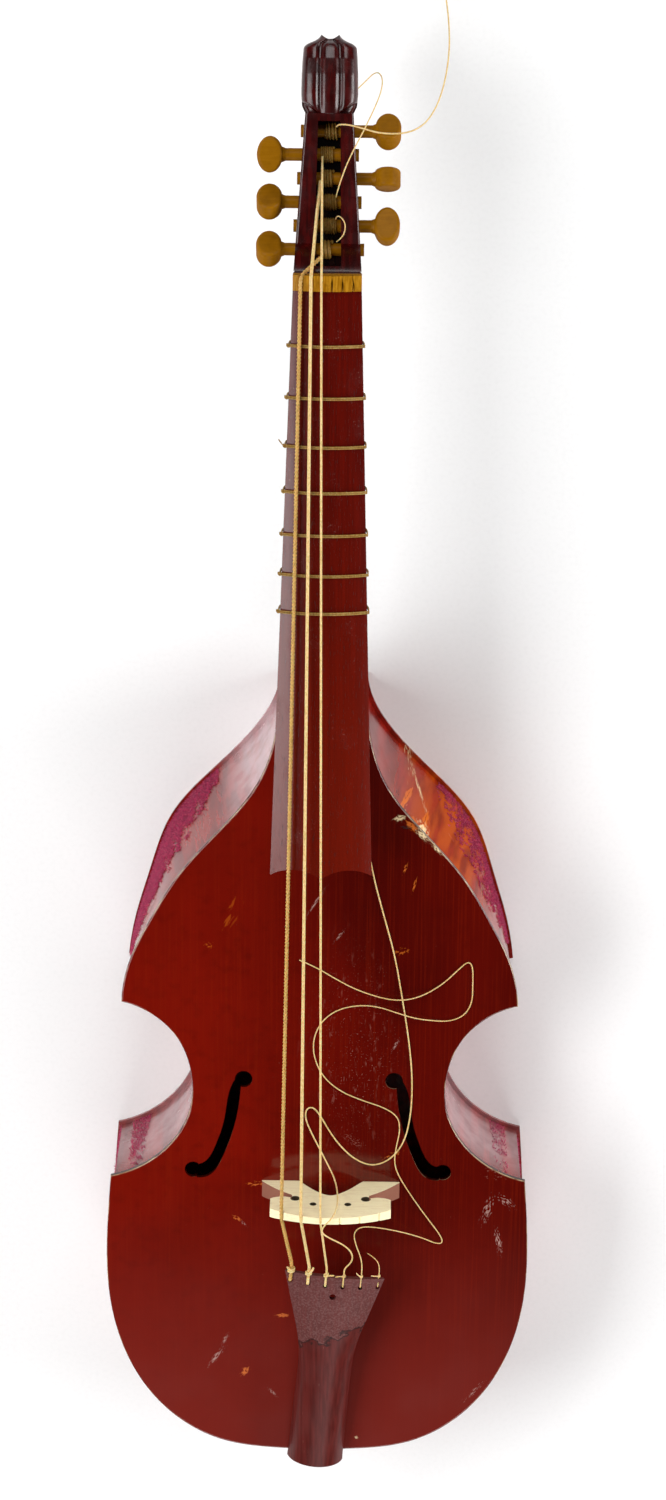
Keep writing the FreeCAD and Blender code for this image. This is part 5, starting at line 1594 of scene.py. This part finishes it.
@dataclass(frozen=True)
class Body(SubAssembly):
    """Belly, back, ribs and inside woods, with the flock that is stuck to the ribs; millimetres."""

    patches: tuple[FlockPatch, ...] = (
        FlockPatch("flock_shoulder_bass", "upper_rib_bass", 20000, (150, 300), 56, 0.86, 3.2, -1),
        FlockPatch("flock_shoulder_treble", "upper_rib_treble", 13000, (165, 292), 58, 0.55, 2.2, 1),
        FlockPatch("flock_corner_bass", "waist_rib_bass", 3500, (6, 15), 97, 0.8, 2.8, -1),
        FlockPatch("flock_corner_treble", "waist_rib_treble", 2500, (6, 14), 97, 0.65, 2.4, 1),
        FlockPatch("flock_lower_bass", "lower_rib", 8000, (-70, 10), 97, 0.5, 3.0, -1),
        FlockPatch("flock_lower_treble", "lower_rib", 6000, (-180, 10), 97, 0.26, 2.6, 1),
    )
    back_thickness: float = 4.0
    bristle_radius: float = 0.17
    # a place deep in the middle of the body, that every outer face looks away from
    heart: tuple[float, float, float] = (0.0, 60.0, -50.0)

    def build(self) -> None:
        """Stick all the flock on."""
        material = Flock(self.layout).make("rayon_flock")
        for patch in self.patches:
            self.add_piece(patch.name, self.bristles(patch), material, "gut", smooth=False)

    def dress(self) -> None:
        """Give belly, ribs, back and the bare woods inside their finishes."""
        self.put_on(self.nodes_of("belly"), BellyVarnish(self.layout).make("belly_spirit_varnish"))
        self.put_on(self.nodes_of("rib_varnish"), RibVarnish(self.layout).make("rib_spirit_varnish"))
        self.put_on(self.nodes_of("bare_spruce"), BareSpruce(self.layout).make("planed_spruce"))

    def outer_faces(self, patch: FlockPatch) -> tuple[np.ndarray, np.ndarray, np.ndarray]:
        """Return a rib's triangles, their unit normals, and the area of those that look outwards.

        Args:
            patch: The patch whose rib is read.

        Returns:
            Corners, normals, and areas that are zero on every face the patch can't be on.
        """
        mesh = self.frame["nodes"][patch.node].data
        mesh.calc_loop_triangles()
        corners = np.empty(len(mesh.loop_triangles) * 3, dtype=np.int32)
        mesh.loop_triangles.foreach_get("vertices", corners)
        flat = np.empty(len(mesh.vertices) * 3, dtype=np.float32)
        mesh.vertices.foreach_get("co", flat)
        triangles = flat.reshape(-1, 3).astype(float)[corners.reshape(-1, 3)]
        cross = np.cross(triangles[:, 1] - triangles[:, 0], triangles[:, 2] - triangles[:, 0])
        area = np.linalg.norm(cross, axis=1)
        normals = cross / np.maximum(area, 1e-15)[:, None]
        middle = triangles.mean(1)
        outside = ((middle - self.layout.place([self.heart])[0]) * normals).sum(1) > 0
        keep = outside & (np.sign(middle[:, 0]) == patch.side) & (np.abs(normals[:, 2]) < 0.7)
        return triangles, normals, np.where(keep, area, 0.0)

    def covered(self, patch: FlockPatch, feet: np.ndarray) -> np.ndarray:
        """Return which feet stand where the patch still has flock.

        The strip narrows to nothing at both ends: its height is h (4 s (1 - s)) ** 0.45. Smooth noise
        makes its edge ragged and thins it towards the edge.

        Args:
            patch: The patch.
            feet: The bristles' feet.

        Returns:
            One True or False per foot.
        """
        y = (feet[:, 1] - self.layout.bridge_line) / MM
        z = feet[:, 2] / MM - self.back_thickness
        across = (y - patch.y[0]) / (patch.y[1] - patch.y[0])
        top = patch.height * np.clip(4 * across * (1 - across), 0, 1) ** 0.45
        ragged = lattice_noise(feet, 14, len(patch.name)) * 14 - 7
        inside = (across > 0) & (across < 1) & (z + ragged < top) & (z > 0)
        fading = patch.cover * (1.3 - 0.85 * np.clip(z / np.maximum(top, 1), 0, 1))
        return inside & (0.5 * lattice_noise(feet, 7, 5) + 0.5 * lattice_noise(feet, 2.5, 6) < fading)

    def bristles(self, patch: FlockPatch) -> Shape:
        """Stand short bristles on a rib's outer face where the patch has flock.

        Each bristle is a three-sided spike: its foot is random on a face chosen by area, and its tip is
        the foot plus its length times the unit vector of normal + 0.8 random.

        Args:
            patch: The patch.

        Returns:
            The points and the faces.
        """
        triangles, normals, weight = self.outer_faces(patch)
        chance = np.random.default_rng(70 + len(patch.name))
        chosen = chance.choice(len(weight), patch.bristles * 8, p=weight / weight.sum())
        a, b = chance.uniform(size=(2, len(chosen)))
        a, b = np.where(a + b > 1, 1 - a, a), np.where(a + b > 1, 1 - b, b)
        corner = triangles[chosen]
        first, second = corner[:, 1] - corner[:, 0], corner[:, 2] - corner[:, 0]
        feet = corner[:, 0] + a[:, None] * first + b[:, None] * second
        kept = np.flatnonzero(self.covered(patch, feet))[: patch.bristles]
        foot, normal = feet[kept], normals[chosen][kept]
        lean = normal + 0.8 * chance.normal(size=normal.shape)
        lean /= np.linalg.norm(lean, axis=1, keepdims=True)
        lean = np.where((lean * normal).sum(1, keepdims=True) < 0.15, normal, lean)
        tip = foot + lean * (patch.length * MM * chance.uniform(0.45, 1.0, (len(foot), 1)))
        side = np.cross(lean, normal + (0.01, 0.02, 0.03))
        side /= np.linalg.norm(side, axis=1, keepdims=True)
        other = np.cross(lean, side)
        turns = (0.0, 2 * math.pi / 3, 4 * math.pi / 3)
        ring = [foot + self.bristle_radius * MM * (math.cos(t) * side + math.sin(t) * other) for t in turns]
        points = np.stack([*ring, tip], axis=1).reshape(-1, 3)
        start = np.arange(len(foot))[:, None] * 4
        faces = np.concatenate([start + f for f in ((0, 1, 3), (1, 2, 3), (2, 0, 3), (2, 1, 0))])
        return points, faces.reshape(-1, 3)


@dataclass(frozen=True)
class Fittings(SubAssembly):
    """The bridge and the tailpiece, whose CAD shapes show as they are."""

    def dress(self) -> None:
        """Give bridge and tailpiece their finishes."""
        self.put_on(self.nodes_of("maple"), BridgeMaple(self.layout).make("cut_maple_bridge"))
        self.put_on(self.nodes_of("tailpiece"), TailVarnish(self.layout).make("worn_tailpiece_varnish"))


# ---- studio --------------------------------------------------------------------------------------
@dataclass(frozen=True)
class SoftBox:
    """A rectangular studio light: where it stands, its size in metres and its power."""

    name: str
    place: tuple[float, float, float]
    size: tuple[float, float]
    power: float
    target: tuple[float, float, float] = (0.0, 0.0, 0.08)


@dataclass(frozen=True)
class Studio:
    """White paper, four soft boxes, an even sky and the camera."""

    layout: Layout
    boxes: tuple[SoftBox, ...] = (
        SoftBox("softbox_bass_side", (-2.3, 0.2, 2.1), (2.6, 1.8), 96),
        SoftBox("softbox_treble_side", (2.9, 0.1, 1.0), (2.2, 1.2), 96),
        SoftBox("softbox_head_end", (0.0, 3.3, 2.3), (3.0, 1.2), 54),
        SoftBox("softbox_tail_end", (0.2, -3.2, 1.9), (2.6, 1.2), 62),
    )
    paper_half: float = 2.0
    sky_light: float = 0.035
    sky_seen: float = 1.0
    camera_place: tuple[float, float, float] = (16.65, 1224.48, 2646.49)
    camera_tilt: float = 18.282
    camera_yaw: float = -0.184
    camera_roll: float = 0.741
    lens: float = 91.7038
    sensor: float = 36.0

    def build(self) -> None:
        """Lay the paper, hang the soft boxes, and set the sky and the camera."""
        self.lay_paper()
        for box in self.boxes:
            self.hang(box)
        self.set_sky()
        self.stand_camera()
        bpy.context.scene.view_settings.view_transform = "Standard"

    def lay_paper(self) -> None:
        """Lay the paper that the viol rests on."""
        far = self.paper_half
        mesh = bpy.data.meshes.new("paper")
        mesh.from_pydata([(-far, -far, 0), (far, -far, 0), (far, far, 0), (-far, far, 0)], [], [(0, 1, 2, 3)])
        mesh.materials.append(PaperSweep(self.layout).make("studio_paper"))
        floor = bpy.data.objects.new("paper", mesh)
        bpy.context.scene.collection.objects.link(floor)
        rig.stage(floor)
        LOG.info("paper: %.1f m square", 2 * far)

    def hang(self, box: SoftBox) -> None:
        """Hang one soft box so that it looks at its target.

        Args:
            box: The soft box.
        """
        light = bpy.data.lights.new(box.name, "AREA")
        light.shape = "RECTANGLE"
        light.size, light.size_y = box.size
        light.energy = box.power
        lamp = bpy.data.objects.new(box.name, light)
        lamp.location = box.place
        aim = Vector(box.target) - Vector(box.place)
        lamp.rotation_euler = aim.to_track_quat("-Z", "Y").to_euler()
        bpy.context.scene.collection.objects.link(lamp)
        LOG.info("%s: %.0f W", box.name, box.power)

    def set_sky(self) -> None:
        """Set a sky that lights the viol dimly, so that no veil lies on the varnish, but looks pale."""
        world = bpy.data.worlds.new("studio")
        world.use_nodes = True
        tree = world.node_tree
        sky = tree.nodes["Background"]
        sky.inputs["Color"].default_value = (1.0, 1.0, 1.0, 1.0)
        rays = tree.nodes.new("ShaderNodeLightPath")
        shown = tree.nodes.new("ShaderNodeMapRange")
        shown.inputs["To Min"].default_value = self.sky_light
        shown.inputs["To Max"].default_value = self.sky_seen
        tree.links.new(rays.outputs["Is Camera Ray"], shown.inputs["Value"])
        tree.links.new(shown.outputs["Result"], sky.inputs["Strength"])
        bpy.context.scene.world = world

    def stand_camera(self) -> None:
        """Stand the camera where the viewer is: nearly overhead, tilted towards the tail.

        Forward, up and right start as (0, -sin t, -cos t), (0, cos t, -sin t) and (1, 0, 0) for a tilt t,
        and are then turned by the yaw and the roll.
        """
        tilt, yaw, roll = (math.radians(a) for a in (self.camera_tilt, self.camera_yaw, self.camera_roll))
        forward = Vector((0, -math.sin(tilt), -math.cos(tilt)))
        up = Vector((0, math.cos(tilt), -math.sin(tilt)))
        right = Vector((1, 0, 0))
        forward, right = (math.cos(yaw) * forward + math.sin(yaw) * right,
                          math.cos(yaw) * right - math.sin(yaw) * forward)
        right, up = math.cos(roll) * right + math.sin(roll) * up, math.cos(roll) * up - math.sin(roll) * right
        data = bpy.data.cameras.new("camera")
        data.sensor_width = self.sensor
        data.lens = self.lens
        data.dof.use_dof = False
        data.clip_start, data.clip_end = 0.05, 50.0
        camera = bpy.data.objects.new("camera", data)
        turn = Matrix((right, up, -forward)).transposed()
        place = Matrix.Translation(Vector(self.layout.place([self.camera_place])[0]))
        camera.matrix_world = place @ turn.to_4x4()
        bpy.context.scene.collection.objects.link(camera)
        bpy.context.scene.camera = camera


def main() -> None:
    """Build the studio and each sub-assembly in order, and report every piece."""
    logging.basicConfig(level=logging.INFO)
    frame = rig.load()
    cad_box = [list(corner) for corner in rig.bounds()]
    layout = Layout.from_frame()
    Studio(layout).build()
    for kind in (Body, Fittings, Head, Neck, Pegs, Strings):
        sub_assembly = kind(frame, layout)
        sub_assembly.build()
        sub_assembly.dress()
        LOG.info("%s: done", kind.__name__)
    with open(SIZE_FILE, "w", encoding="utf-8") as file:
        json.dump({"cad": cad_box, "visual": [list(corner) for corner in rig.bounds()]}, file)
    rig.finish()


if __name__ == "__main__":
    main()
